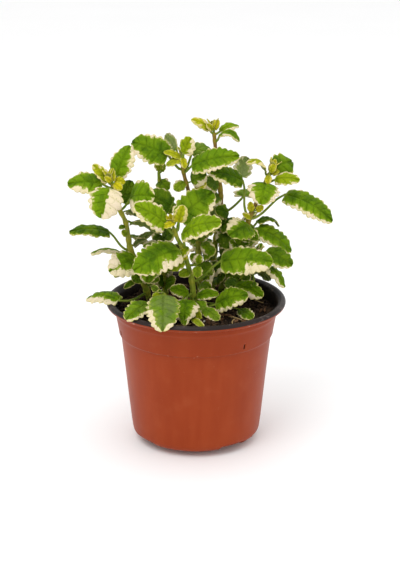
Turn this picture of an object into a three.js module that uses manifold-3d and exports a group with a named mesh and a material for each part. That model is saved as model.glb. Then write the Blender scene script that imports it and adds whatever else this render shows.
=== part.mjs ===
/**
 * Potted plectranthus: a bushy variegated plant in a 12 cm thermoformed nursery pot.
 * Millimetres, +Z up. The pot's axis is X = Y = 0, it stands on Z = 0, and its front is -Y.
 */
import * as THREE from 'three';
import { mergeVertices } from 'three/addons/utils/BufferGeometryUtils.js';
import Module from 'manifold-3d';

// Driving dimensions of the pot.
const RIM_RADIUS = 60;
const POT_HEIGHT = 98.5;
const GROUND_RADIUS = 30;
const WALL = 1;
const FLOOR = 1.2;
const SHOULDER_HEIGHT = 75;
const RIM_DEPTH = 4;
const RIM_OVERHANG = 5;
const CHANNEL_COUNT = 4;
const CHANNEL_HEIGHT = 6.3;
const CHANNEL_ANGLE = 36;
const DRAIN_HOLE_RADIUS = 3;
const SLIT_ANGLES = [-162, -53, 70];
const POT_SIDES = 48;

// Driving dimensions of the plant.
const SOIL_DROP = 7.5;
const MIX_SLACK = 0.3;
const PLANT_SCALE = 1;
const STEM_BASE_RADIUS = 2.1;
const STEM_TIP_RADIUS = 1.1;
const STEM_SIDES = 8;
const BUD_LENGTH = 8;
const PETIOLE_RADIUS = 0.6;
const LEAF_THICKNESS = 0.9;
const LEAF_EDGE = 0.5;
const GAP = 0.35;
const STALK_GAP = 0.6;

const SOIL_TOP = POT_HEIGHT - SOIL_DROP;
const wasm = await Module();
wasm.setup();

/** A point of the plant: sideways, back, and height above the potting mix. */
function plantPoint([x, y, height]) {
  const scaled = new THREE.Vector3(x, y, height).multiplyScalar(PLANT_SCALE);
  return scaled.add(new THREE.Vector3(0, 0, SOIL_TOP));
}

/** A point beside the pot's rim: its bearing from the front, how far outside, how far above. */
function rimPoint(bearing, outside, above) {
  const turn = THREE.MathUtils.degToRad(bearing);
  const radius = RIM_RADIUS + outside;
  return new THREE.Vector3(radius * Math.sin(turn), -radius * Math.cos(turn), POT_HEIGHT + above);
}

/** Joins rings of equally many points into one closed skin, with a flat cap at each end. */
function skin(rings) {
  const count = rings[0].length;
  const positions = [];
  const faces = [];
  for (const ring of rings) {
    for (const point of ring) {
      positions.push(point.x, point.y, point.z);
    }
  }
  for (let row = 0; row < rings.length - 1; row += 1) {
    for (let i = 0; i < count; i += 1) {
      const a = row * count + i;
      const b = row * count + (i + 1) % count;
      faces.push(a, b, b + count);
      faces.push(a, b + count, a + count);
    }
  }
  const last = (rings.length - 1) * count;
  for (let i = 1; i < count - 1; i += 1) {
    faces.push(0, i + 1, i);
    faces.push(last, last + i, last + i + 1);
  }
  const geometry = new THREE.BufferGeometry();
  geometry.setAttribute('position', new THREE.Float32BufferAttribute(positions, 3));
  geometry.setIndex(faces);
  geometry.computeVertexNormals();
  return geometry;
}

/** Side vectors along a path, each turned from its neighbour by the least rotation. */
function carrySide(side, tangents) {
  const sides = [side.clone()];
  const turn = new THREE.Quaternion();
  for (let i = 1; i < tangents.length; i += 1) {
    turn.setFromUnitVectors(tangents[i - 1], tangents[i]);
    sides.push(sides[i - 1].clone().applyQuaternion(turn));
  }
  return sides;
}

/** A ring of points given as [sideways, up] pairs in the plane across a path. */
function ringAt(centre, side, tangent, pairs) {
  const up = tangent.clone().cross(side);
  return pairs.map(([s, u]) => centre.clone().addScaledVector(side, s).addScaledVector(up, u));
}

/** The pairs of a regular polygon. */
function polygon(radius, sides, start) {
  const pairs = [];
  for (let i = 0; i < sides; i += 1) {
    const turn = start + (i * 2 * Math.PI) / sides;
    pairs.push([radius * Math.cos(turn), radius * Math.sin(turn)]);
  }
  return pairs;
}

/** A closed geometry as a solid that can be joined and cut. */
function toManifold(geometry) {
  const bare = geometry.clone();
  bare.deleteAttribute('normal');
  bare.deleteAttribute('uv');
  const merged = mergeVertices(bare);
  return new wasm.Manifold(new wasm.Mesh({
    numProp: 3,
    vertProperties: new Float32Array(merged.attributes.position.array),
    triVerts: new Uint32Array(merged.index.array),
  }));
}

/** A solid as a geometry that a mesh can hold. */
function toGeometry(solid) {
  const mesh = solid.getMesh();
  const geometry = new THREE.BufferGeometry();
  geometry.setAttribute('position', new THREE.BufferAttribute(mesh.vertProperties, 3));
  geometry.setIndex(new THREE.BufferAttribute(mesh.triVerts, 1));
  geometry.computeVertexNormals();
  return geometry;
}

/** A solid of revolution from a profile of [radius, height] pairs, bottom to top. */
function turned(profile) {
  const rings = profile.map(([radius, height]) => {
    const ring = [];
    for (let i = 0; i < POT_SIDES; i += 1) {
      const turn = (i * 2 * Math.PI) / POT_SIDES;
      ring.push(new THREE.Vector3(radius * Math.cos(turn), radius * Math.sin(turn), height));
    }
    return ring;
  });
  return skin(rings);
}

/** A block standing on the plane Z = base, reaching from one radius to another along +X. */
function radialBlock(inner, outer, width, base, height) {
  const block = new THREE.BoxGeometry(outer - inner, width, height);
  block.translate((inner + outer) / 2, 0, base + height / 2);
  return toManifold(block);
}

const COLLAR_BASE = 51.8 * (RIM_RADIUS / 60);
const COLLAR_TOP = RIM_RADIUS - RIM_OVERHANG;
const WALL_TOP = COLLAR_BASE - 1.3;
const WALL_FOOT = GROUND_RADIUS + 13.3;
const RIM_BASE = POT_HEIGHT - RIM_DEPTH;

// Outside of the pot: ground face, rounded foot, tapering wall, shoulder, collar and rolled rim.
const outsideProfile = [
  [GROUND_RADIUS, 0],
  [GROUND_RADIUS + 4.5, 1.7],
  [GROUND_RADIUS + 9, 3.4],
  [GROUND_RADIUS + 12.2, 5.4],
  [WALL_FOOT, 8],
  [WALL_TOP, SHOULDER_HEIGHT - 1],
  [COLLAR_BASE, SHOULDER_HEIGHT + 0.6],
  [COLLAR_TOP - 0.6, RIM_BASE - 5],
  [COLLAR_TOP, RIM_BASE - 4.4],
  [COLLAR_TOP + 0.3, RIM_BASE],
  [RIM_RADIUS - 1, RIM_BASE],
  [RIM_RADIUS - 0.1, RIM_BASE + 1],
  [RIM_RADIUS, RIM_BASE + 2.2],
  [RIM_RADIUS - 0.5, RIM_BASE + 3.4],
  [RIM_RADIUS - 1.8, POT_HEIGHT],
];

const insideProfile = [
  [GROUND_RADIUS + 0.2, FLOOR],
  [GROUND_RADIUS + 8.6, FLOOR + 3.2],
  [GROUND_RADIUS + 11.3, FLOOR + 4.9],
  [WALL_FOOT - WALL, FLOOR + 7.4],
  [WALL_TOP - WALL, SHOULDER_HEIGHT - 0.4],
  [COLLAR_BASE - WALL, SHOULDER_HEIGHT + 1.2],
  [COLLAR_TOP - WALL, RIM_BASE],
  [COLLAR_TOP - WALL + 0.4, POT_HEIGHT - 1],
  [COLLAR_TOP + 0.5, POT_HEIGHT + 0.01],
];

/** Radius of the pot's inside wall at a height. */
function insideRadius(height) {
  let radius = insideProfile[0][0];
  for (let i = 1; i < insideProfile.length; i += 1) {
    const [lowRadius, lowHeight] = insideProfile[i - 1];
    const [highRadius, highHeight] = insideProfile[i];
    if (height >= lowHeight) {
      const share = Math.min((height - lowHeight) / (highHeight - lowHeight), 1);
      radius = lowRadius + (highRadius - lowRadius) * share;
    }
  }
  return radius;
}

// Underside of the rolled rim: a groove open downwards between the collar and the lip.
const groove = toManifold(turned([
  [RIM_RADIUS - 1.4, RIM_BASE - 1],
  [RIM_RADIUS - 1.4, RIM_BASE + 2],
])).subtract(toManifold(turned([
  [COLLAR_TOP + 1.1, RIM_BASE - 2],
  [COLLAR_TOP + 1.1, RIM_BASE + 3],
])));

const outside = toManifold(turned(outsideProfile)).subtract(groove);
const inside = toManifold(turned(insideProfile));

// Four drainage channels cross the edge of the base, each with a hole through its roof.
const halfChannel = THREE.MathUtils.degToRad(CHANNEL_ANGLE / 2);
const channelInner = GROUND_RADIUS * 0.68;
const channelWidth = 2 * GROUND_RADIUS * Math.sin(halfChannel);
let potSolid = outside;
let hollow = inside;
for (let i = 0; i < CHANNEL_COUNT; i += 1) {
  const bearing = 36 + (i * 360) / CHANNEL_COUNT - 90;
  const cut = radialBlock(channelInner, GROUND_RADIUS + 20, channelWidth, -1, CHANNEL_HEIGHT + 1);
  const roof = radialBlock(
    channelInner - WALL, GROUND_RADIUS + 21, channelWidth + 2 * WALL, -1, CHANNEL_HEIGHT + 1 + WALL,
  );
  potSolid = potSolid.subtract(cut.rotate([0, 0, bearing]));
  hollow = hollow.subtract(roof.rotate([0, 0, bearing]));
}
potSolid = potSolid.subtract(hollow);
const drill = new THREE.CylinderGeometry(DRAIN_HOLE_RADIUS, DRAIN_HOLE_RADIUS, 30, 16);
drill.rotateX(Math.PI / 2);
drill.translate(channelInner + DRAIN_HOLE_RADIUS + 2, 0, 0);
const hole = toManifold(drill);
for (let i = 0; i < CHANNEL_COUNT; i += 1) {
  const bearing = 36 + (i * 360) / CHANNEL_COUNT - 90;
  potSolid = potSolid.subtract(hole.rotate([0, 0, bearing]));
}

// Three short upright slits above the shoulder keep stacked pots from jamming.
for (const bearing of SLIT_ANGLES) {
  const slit = radialBlock(COLLAR_BASE - 0.3, COLLAR_BASE + 3, 1, SHOULDER_HEIGHT + 2, 3.4);
  potSolid = potSolid.subtract(slit.rotate([0, 0, bearing]));
}

/** Lumpy top of the potting mix: three crossing waves, 1 mm high at most. */
function mixHeight(x, y) {
  const waves = Math.sin(x * 0.16 + 1) + Math.sin(y * 0.19 + 2) + Math.sin((x + y) * 0.11);
  return SOIL_TOP - 1 + waves * 0.33;
}

/** Potting mix: fills the pot from just above the drainage channels to below the rim. */
function pottingMix() {
  const sides = 36;
  const bottom = CHANNEL_HEIGHT + WALL + GAP;
  const wallHeights = [FLOOR + 7.4, SHOULDER_HEIGHT - 0.4, SHOULDER_HEIGHT + 1.2, SOIL_TOP - 3];
  const clearance = GAP + MIX_SLACK;
  const outline = [[insideRadius(bottom) - clearance, bottom]];
  for (const height of wallHeights) {
    outline.push([insideRadius(height) - clearance, height]);
  }
  const rings = outline.map(([radius, height]) => ({ radius, height }));
  for (const share of [0.98, 0.8, 0.6, 0.4, 0.2, 0.06]) {
    rings.push({ radius: (insideRadius(SOIL_TOP) - clearance) * share, height: null });
  }
  return skin(rings.map(({ radius, height }) => {
    const ring = [];
    for (let i = 0; i < sides; i += 1) {
      const turn = (i * 2 * Math.PI) / sides;
      const x = radius * Math.cos(turn);
      const y = radius * Math.sin(turn);
      ring.push(new THREE.Vector3(x, y, height === null ? mixHeight(x, y) : height));
    }
    return ring;
  }));
}

// Shoots, each through points given sideways, back and above the mix, from the foot to the tip.
const shoots = {
  front: [[-1, 3, 0], [-2, 0, 12], [-3, -2, 22], [-6, -5, 34], [-8, -8, 43], [-12, -12, 52], [-15, -16, 62]],
  left: [[-32, 18, 0], [-35, 15, 12], [-39, 11, 27], [-44, 8, 39], [-46, 4, 57], [-50, 2, 67], [-55, -2, 88]],
  mid_left: [[-21, 24, 0], [-21, 25, 15], [-21, 26, 40], [-23, 26, 61], [-24, 25, 76], [-25, 24, 89]],
  centre: [[3, 20, 0], [2, 20, 20], [1, 18, 45], [-2, 16, 62], [-5, 14, 77], [-9, 12, 95], [-9, 12, 101]],
  back: [[11, 35, 0], [12, 33, 23], [14, 33, 41], [17, 34, 60], [16, 36, 76], [14, 38, 92], [12, 40, 112]],
  right: [[17, 35, 0], [25, 26, 24], [32, 20, 43], [36, 16, 59], [43, 14, 75], [49, 12, 91]],
  low_right: [[23, 31, 0], [28, 24, 9], [34, 17, 20], [39, 11, 29], [42, 8, 37]],
  low_front: [[-16, 4, 0], [-19, -8, 8], [-21, -18, 15], [-23, -24, 19]],
};

const shootCurves = {};
for (const [name, points] of Object.entries(shoots)) {
  shootCurves[name] = new THREE.CatmullRomCurve3(points.map(plantPoint));
}

/** Thickness of a shoot at a share of its length. */
function stemRadius(share) {
  return STEM_BASE_RADIUS + (STEM_TIP_RADIUS - STEM_BASE_RADIUS) * share;
}

/** A shoot and its closed end bud as one solid. */
function stemGeometry(curve) {
  const steps = Math.max(4, Math.round(curve.getLength() / 11));
  const centres = [];
  const tangents = [];
  const radii = [];
  for (let i = 0; i <= steps; i += 1) {
    const share = i / steps;
    centres.push(curve.getPointAt(share));
    tangents.push(curve.getTangentAt(share));
    radii.push(stemRadius(share));
  }
  centres[0].z = mixHeight(centres[0].x, centres[0].y) + GAP + 0.1;
  tangents[0] = new THREE.Vector3(0, 0, 1);
  const end = centres[steps];
  const ahead = tangents[steps];
  for (const [share, radius] of [[0.35, 1.5], [0.6, 1.7], [0.85, 1], [1, 0.3]]) {
    centres.push(end.clone().addScaledVector(ahead, BUD_LENGTH * share));
    tangents.push(ahead.clone());
    radii.push(radius);
  }
  const sides = carrySide(new THREE.Vector3(1, 0, 0), tangents);
  return skin(centres.map((centre, i) => (
    ringAt(centre, sides[i], tangents[i], polygon(radii[i], STEM_SIDES, 0))
  )));
}

// Half width of a leaf blade along its midrib, as shares of length and of the full half width.
const BLADE_OUTLINE = [[0.08, 0.55], [0.24, 0.93], [0.42, 1], [0.62, 0.92], [0.8, 0.68], [0.93, 0.37], [1, 0.08]];

/**
 * One leaf: a stalk that starts just clear of its shoot, and a blade from neck to tip.
 * face is the way the upper side looks, arch how far the midrib bulges that way,
 * and fold how far the edges rise that way as a share of the half width.
 */
function leafGeometry({ shoot, at, neck, tip, width, arch, face, fold = -0.15 }) {
  const bulge = arch * PLANT_SCALE;
  const halfWidth = (width * PLANT_SCALE) / 2;
  const curve = shootCurves[shoot];
  const chord = tip.clone().sub(neck);
  const length = chord.length();
  const along = chord.clone().normalize();
  const side = new THREE.Vector3(...face).cross(along).normalize();
  const up = along.clone().cross(side);
  const root = curve.getPointAt(at);
  const growth = curve.getTangentAt(at);
  const out = neck.clone().sub(root);
  out.addScaledVector(growth, -out.dot(growth)).normalize();
  const start = root.clone().addScaledVector(out, stemRadius(at) + STALK_GAP);
  const stalkSpan = start.distanceTo(neck);
  const firstTangent = along.clone().addScaledVector(up, (4 * bulge) / length).normalize();
  const reach = neck.clone().sub(start).normalize();
  const leaving = reach.clone().addScaledVector(out, 0.8).normalize();
  const arriving = reach.clone().addScaledVector(firstTangent, 0.7).normalize();
  const stalk = new THREE.CubicBezierCurve3(
    start,
    start.clone().addScaledVector(leaving, stalkSpan * 0.3),
    neck.clone().addScaledVector(arriving, -stalkSpan * 0.3),
    neck,
  );
  const steps = Math.min(4, Math.max(1, Math.round(stalkSpan / 5)));
  const centres = [];
  const tangents = [];
  const outlines = [];
  for (let i = 0; i <= steps; i += 1) {
    centres.push(stalk.getPoint(i / steps));
    tangents.push(i === 0 ? out.clone() : stalk.getTangent(i / steps));
    outlines.push(polygon(PETIOLE_RADIUS, 6, -Math.PI / 6));
  }
  const middle = LEAF_THICKNESS / 2;
  const rim = LEAF_EDGE / 2;
  for (const [share, spread] of BLADE_OUTLINE) {
    const rise = 4 * bulge * share * (1 - share);
    const slope = (4 * bulge * (1 - 2 * share)) / length;
    const half = spread * halfWidth;
    const lift = fold * half;
    centres.push(neck.clone().addScaledVector(chord, share).addScaledVector(up, rise));
    tangents.push(along.clone().addScaledVector(up, slope).normalize());
    outlines.push([
      [half, lift - rim], [half, lift + rim], [0, middle],
      [-half, lift + rim], [-half, lift - rim], [0, -middle],
    ]);
  }
  const backwards = carrySide(side, tangents.slice(0, steps + 1).reverse()).reverse();
  return skin(centres.map((centre, i) => (
    ringAt(centre, i <= steps ? backwards[i] : side, tangents[i], outlines[i])
  )));
}

// Leaves by shoot: where on the shoot, neck and tip of the blade, width, arch, and facing.
const p = plantPoint;
const leaves = {
  left: [
    { at: 0.98, neck: p([-57, -1, 87]), tip: p([-67, 2, 98]), width: 8, arch: 2, face: [0, -1, 1] },
    { at: 0.96, neck: p([-52, 2, 90]), tip: p([-43, 12, 108]), width: 16, arch: 3, face: [-0.3, -1, 0.6] },
    { at: 0.95, neck: p([-61, -2, 86]), tip: p([-83, -6, 87]), width: 17, arch: 3, face: [0, -1, 1.2] },
    { at: 0.94, neck: p([-56, -9, 85]), tip: p([-61, -20, 68]), width: 22, arch: 3, face: [0, -1, 0.6] },
    { at: 0.78, neck: p([-50, 8, 71]), tip: p([-43, 15, 84]), width: 15, arch: 2, face: [0, -1, 0.6] },
    { at: 0.77, neck: p([-43, 2.6, 75]), tip: p([-27, -7, 79]), width: 22, arch: 5, face: [0, -1, 0.6] },
    { at: 0.66, neck: p([-43, 8, 57]), tip: p([-27, 14, 49]), width: 12, arch: 4, face: [0, 0.7, 1] },
    { at: 0.45, neck: p([-57, 2, 52]), tip: p([-83, -4, 54]), width: 15, arch: 3, face: [0, -0.3, 1] },
    { at: 0.43, neck: p([-50, 9, 36]), tip: p([-70, 6, 36]), width: 12, arch: 3, face: [0, 0.1, 1] },
    { at: 0.46, neck: p([-42, 12, 40]), tip: p([-28, 18, 48]), width: 10, arch: 2, face: [0, 1, 1] },
    { at: 0.33, neck: p([-39, 2, 33]), tip: p([-57, -9, 28]), width: 20, arch: 4, face: [0, -1, 1] },
    { at: 0.3, neck: p([-31, 4, 31]), tip: p([-32, -10, 21]), width: 15, arch: 3, face: [0, -1, 1] },
    { at: 0.07, neck: rimPoint(-77, -8, 1.5), tip: rimPoint(-92, 13, -2), width: 15, arch: 4, face: [-0.2, -0.2, 1] },
  ],
  front: [
    { at: 0.93, neck: p([-11, -19, 65]), tip: p([-8, -22, 77]), width: 9, arch: 1, face: [0, -1, 0.5] },
    { at: 0.92, neck: p([-19, -21, 64]), tip: p([-39, -26, 78]), width: 19, arch: 3, face: [0, -1, 1.2] },
    { at: 0.9, neck: p([-11, -9, 64]), tip: p([11, 3, 79]), width: 22, arch: 3, face: [0, -1, 1] },
    { at: 0.66, neck: p([-11, -14, 45]), tip: p([-40, -28, 35]), width: 23, arch: 5, face: [0, -1, 1] },
    { at: 0.72, neck: p([-9, -19, 57]), tip: p([16, -30, 68]), width: 18, arch: 4, face: [0, -1, 1.5] },
    { at: 0.3, neck: p([16, -11, 36]), tip: p([50, -15, 37]), width: 21, arch: 4, face: [0, -1, 1.2] },
    { at: 0.12, neck: p([-5, -4, 11]), tip: p([-17, -8, 16]), width: 10, arch: 2, face: [0, -1, 1] },
    { at: 0.12, neck: p([1, -4, 10]), tip: p([15, -10, 13]), width: 9, arch: 2, face: [0, -1, 1] },
    { at: 0.08, neck: p([-7, -16, 11]), tip: p([-8, -36, 4]), width: 19, arch: 3, face: [0, -1, 1.3] },
    { at: 0.03, neck: p([13, -14, 7]), tip: p([34, -22, 16]), width: 17, arch: 4, face: [0, -1, 1.2] },
  ],
  low_front: [
    { at: 0.8, neck: p([-21, -33, 20]), tip: rimPoint(-19, 4, -2), width: 21, arch: 4, face: [0, -1, 1.5] },
    { at: 0.5, neck: p([-29, -22, 10]), tip: rimPoint(-44, 4, 0.5), width: 16, arch: 4, face: [0, -1, 1.5] },
  ],
  mid_left: [
    { at: 0.36, neck: p([-21, 16, 37]), tip: p([-35, 8, 40]), width: 14, arch: 3, face: [0, -0.3, 1] },
  ],
  centre: [
    { at: 0.63, neck: p([-16, 8, 68]), tip: p([-35, 12, 76]), width: 20, arch: 2, face: [0, -1, 1] },
    { at: 0.92, neck: p([-18, 10, 102]), tip: p([-42, 14, 110]), width: 20, arch: 3, face: [0.1, -1, 0.8] },
    { at: 0.9, neck: p([-3, 6, 96]), tip: p([28, 0, 104]), width: 17, arch: 4, face: [0, -1, 1] },
    { at: 0.9, neck: p([-3, 17, 101]), tip: p([10, 26, 102]), width: 16, arch: 5, face: [0, -0.5, 1] },
    { at: 0.95, neck: p([-13, 17, 105]), tip: p([-20, 28, 112]), width: 10, arch: 1, face: [0, 1, 0.3] },
    { at: 0.97, neck: p([-8, 8, 104]), tip: p([-3, 6, 115]), width: 12, arch: 1, face: [-0.6, -1, 0.3] },
  ],
  back: [
    { at: 0.99, neck: p([9, 38, 114]), tip: p([-3, 34, 121]), width: 8, arch: 2, face: [0, -1, 1] },
    { at: 0.98, neck: p([16, 42, 111]), tip: p([29, 46, 114]), width: 9, arch: 3, face: [0, -0.5, 1] },
    { at: 0.94, neck: p([16, 37, 110]), tip: p([29, 34, 106]), width: 8, arch: 6, face: [0, -0.5, 1] },
    { at: 0.7, neck: p([30, 42, 80]), tip: p([35, 48, 92]), width: 13, arch: 2, face: [0, 1, 0.3] },
    { at: 0.51, neck: p([32, 30, 69]), tip: p([37, 46, 69]), width: 17, arch: 2, face: [0, 0, 1] },
  ],
  right: [
    { at: 0.97, neck: p([46, 12, 91]), tip: p([33, 6, 98]), width: 11, arch: 5, face: [0, -0.2, 1] },
    { at: 0.96, neck: p([51, 15, 92]), tip: p([64, 22, 95]), width: 18, arch: 3, face: [0, -1, 0.8] },
    { at: 0.93, neck: p([52, 9, 86]), tip: p([68, 4, 87]), width: 10, arch: 3, face: [0, -1, 1] },
    { at: 0.91, neck: p([46, 8, 84]), tip: p([42, -8, 74]), width: 21, arch: 4, face: [0, -1, 0.8] },
    { at: 0.66, neck: p([31, 10, 85]), tip: p([8, 4, 93]), width: 15, arch: 3, face: [0, -1, 1.2] },
    { at: 0.64, neck: p([59, 13, 75]), tip: p([90, 4, 59]), width: 18, arch: 5, face: [0.2, -0.7, 1] },
    { at: 0.55, neck: p([41, 19, 50]), tip: p([64, 15, 35]), width: 16, arch: 4, face: [0.2, -0.7, 1] },
    { at: 0.58, neck: p([36, 13, 53]), tip: p([22, -2, 51]), width: 19, arch: 4, face: [0, -1, 1] },
    { at: 0.52, neck: p([41, 22, 53]), tip: p([56, 27, 49]), width: 12, arch: 5, face: [0, 0, 1] },
  ],
  low_right: [
    { at: 0.92, neck: p([46, 6, 37]), tip: p([64, 0, 30]), width: 16, arch: 3, face: [0, -1, 1.2] },
    { at: 0.81, neck: p([46, 7, 28]), tip: p([59, -2, 15]), width: 12, arch: 3, face: [0.6, -0.5, 0.6] },
    { at: 0.35, neck: p([38, 20, 17]), tip: p([54, 18, 17]), width: 10, arch: 3, face: [0, 0.4, 1] },
    { at: 0.14, neck: p([27, 6, 14]), tip: p([44, -10, 11]), width: 13, arch: 3, face: [0, -1, 1] },
  ],
};

const group = new THREE.Group();
group.name = 'potted_plectranthus';

function addPiece(name, geometry, colour, roughness) {
  const material = new THREE.MeshStandardMaterial({ color: colour, roughness, metalness: 0 });
  const mesh = new THREE.Mesh(geometry, material);
  mesh.name = name;
  group.add(mesh);
}

addPiece('pot', toGeometry(potSolid), 0x9a3c1c, 0.5);
addPiece('mix', pottingMix(), 0x1d1712, 0.95);
for (const [name, curve] of Object.entries(shootCurves)) {
  addPiece(`stem_${name}`, stemGeometry(curve), 0x7f8a2a, 0.6);
}
for (const [shoot, list] of Object.entries(leaves)) {
  list.forEach((leaf, i) => {
    const number = String(i + 1).padStart(2, '0');
    addPiece(`leaf_${shoot}_${number}`, leafGeometry({ shoot, ...leaf }), 0x5c8a14, 0.55);
  });
}

export default group;
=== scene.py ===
# %% [markdown]
# # A variegated plectranthus in its nursery pot
# The object is a bushy plant with cream-edged leaves, growing in a thin plastic pot.
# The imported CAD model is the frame: it says where every stem, leaf and wall is. This notebook
# reads those places and lays finer surfaces over them. Each surface is worked out with numpy as
# a function of two parameters, because a leaf or a moulded wall is one sheet with a rule.

import bpy
import numpy as np
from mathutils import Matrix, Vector


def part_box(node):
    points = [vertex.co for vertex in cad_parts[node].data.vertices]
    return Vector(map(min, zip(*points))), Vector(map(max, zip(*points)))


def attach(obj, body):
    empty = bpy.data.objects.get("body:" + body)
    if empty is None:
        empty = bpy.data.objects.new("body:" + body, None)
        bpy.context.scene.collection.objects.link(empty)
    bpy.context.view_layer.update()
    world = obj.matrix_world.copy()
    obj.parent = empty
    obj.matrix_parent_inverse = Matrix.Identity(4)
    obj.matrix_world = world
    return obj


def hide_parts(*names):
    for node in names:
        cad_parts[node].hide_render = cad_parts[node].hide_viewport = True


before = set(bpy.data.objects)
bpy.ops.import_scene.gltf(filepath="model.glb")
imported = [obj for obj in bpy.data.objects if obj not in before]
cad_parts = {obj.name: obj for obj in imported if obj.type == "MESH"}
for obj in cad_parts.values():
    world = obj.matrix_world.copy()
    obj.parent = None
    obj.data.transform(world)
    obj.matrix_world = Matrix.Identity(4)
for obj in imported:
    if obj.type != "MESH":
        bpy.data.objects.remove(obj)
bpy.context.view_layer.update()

# %% [markdown]
# Lengths below are written in millimetres, as on a drawing, and multiplied by MM.
# The pot's own box gives the rim and the height, and the soil lies a fixed drop below the rim,
# so the whole notebook follows the CAD sizes.

# %% Sizes that everything else hangs on
MM = 0.001
SOIL_DROP = 7.5 * MM
_, pot_high = (np.array(corner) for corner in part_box("pot"))
RIM = pot_high[0]
HEIGHT = pot_high[2]
SOIL = HEIGHT - SOIL_DROP
print(f"rim radius {RIM / MM:.1f} mm, height {HEIGHT / MM:.1f} mm, soil level {SOIL / MM:.1f} mm")

# %% [markdown]
# Every piece here is a stack of rings. Ring k has the same number of points as ring k + 1, so
# the skin is a plain grid of quads, and the two ends close on a centre point. Rings are an array
# of shape (rings, points, 3). Going round a ring anticlockwise, seen against the direction of
# travel, makes every face point outwards.


# %% Grid skins as meshes
def skin_faces(rows, columns):
    """Corner numbers of quads joining each ring to the next, then fans closing both ends."""
    row, column = np.meshgrid(np.arange(rows - 1), np.arange(columns), indexing="ij")
    beside = (column + 1) % columns
    quads = np.stack(
        [row * columns + column, row * columns + beside,
         (row + 1) * columns + beside, (row + 1) * columns + column], -1).reshape(-1, 4)
    around = np.arange(columns)
    onward = (around + 1) % columns
    first, last = rows * columns, rows * columns + 1
    top = (rows - 1) * columns
    start_fan = np.stack([onward, around, np.full(columns, first)], -1)
    end_fan = np.stack([top + around, top + onward, np.full(columns, last)], -1)
    return quads, np.concatenate([start_fan, end_fan])


def skin_piece(rings):
    """Points, quads and triangles of one closed skin: the rings, then the two end centres."""
    rows, columns = rings.shape[:2]
    ends = np.stack([rings[0].mean(0), rings[-1].mean(0)])
    quads, fans = skin_faces(rows, columns)
    return np.concatenate([rings.reshape(-1, 3), ends]), quads, fans


def make_object(name, pieces, layers=None, smooth=True):
    """One mesh object from several (points, quads, triangles) pieces, with point attributes."""
    points = np.concatenate([piece[0] for piece in pieces])
    starts = np.cumsum([0] + [len(piece[0]) for piece in pieces[:-1]])
    quads = np.concatenate([piece[1] + start for piece, start in zip(pieces, starts)])
    fans = np.concatenate([piece[2] + start for piece, start in zip(pieces, starts)])
    corners = np.concatenate([quads.ravel(), fans.ravel()]).astype(np.int32)
    sizes = np.concatenate([np.full(len(quads), 4), np.full(len(fans), 3)])
    loop_start = np.concatenate([[0], np.cumsum(sizes)[:-1]]).astype(np.int32)
    mesh = bpy.data.meshes.new(name)
    mesh.vertices.add(len(points))
    mesh.vertices.foreach_set("co", points.astype(np.float32).ravel())
    mesh.loops.add(len(corners))
    mesh.loops.foreach_set("vertex_index", corners)
    mesh.polygons.add(len(sizes))
    mesh.polygons.foreach_set("loop_start", loop_start)
    mesh.update(calc_edges=True)
    mesh.polygons.foreach_set("use_smooth", np.full(len(sizes), smooth))
    for layer, values in (layers or {}).items():
        attribute = mesh.attributes.new(layer, "FLOAT_VECTOR", "POINT")
        attribute.data.foreach_set("vector", np.asarray(values, np.float32).ravel())
    made = bpy.data.objects.new(name, mesh)
    bpy.context.scene.collection.objects.link(made)
    return made


def glide(knots, values, where):
    """Smooth curve through the values: a cubic in each gap, whose slope at a knot is the mean
    of the slopes on its two sides."""
    values = np.asarray(values, float).reshape(len(knots), -1)
    gaps = np.diff(knots)
    slopes = np.diff(values, axis=0) / gaps[:, None]
    bends = np.vstack([slopes[:1], (slopes[1:] + slopes[:-1]) / 2, slopes[-1:]])
    cell = np.clip(np.searchsorted(knots, where, side="right") - 1, 0, len(gaps) - 1)
    span = gaps[cell][:, None]
    t = ((where - knots[cell]) / gaps[cell])[:, None]
    here, there = values[cell], values[cell + 1]
    return ((2 * t**3 - 3 * t**2 + 1) * here + (t**3 - 2 * t**2 + t) * span * bends[cell]
            + (3 * t**2 - 2 * t**3) * there + (t**3 - t**2) * span * bends[cell + 1])


def unit(vectors):
    """The same directions at length 1."""
    return vectors / np.maximum(np.linalg.norm(vectors, axis=-1, keepdims=True), 1e-12)


def smoothstep(low, high, value):
    """0 below low, 1 above high, and an S-shaped ramp between."""
    t = np.clip((value - low) / (high - low), 0, 1)
    return t * t * (3 - 2 * t)


def ripple(x, y, seed, octaves=4):
    """Rolling unevenness about 0: crossing sine waves, each octave twice as fine, half as high."""
    rng = np.random.default_rng(seed)
    total = np.zeros(np.broadcast(x, y).shape)
    for octave in range(octaves):
        for _ in range(3):
            turn, shift = rng.uniform(0, 2 * np.pi, 2)
            reach = 2**octave * rng.uniform(0.7, 1.3)
            total += np.sin((x * np.cos(turn) + y * np.sin(turn)) * reach + shift) / 2**octave / 3
    return total


print("mesh helpers ready")

# %% [markdown]
# A shader is arithmetic on sockets. The class below wraps one socket and gives it the usual
# operators, so that a mask can be written as `1 - edge * 0.5`, and each operator adds its own
# Math node. Colours go through a Mix node, and any other node comes from the one method `node`.


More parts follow.
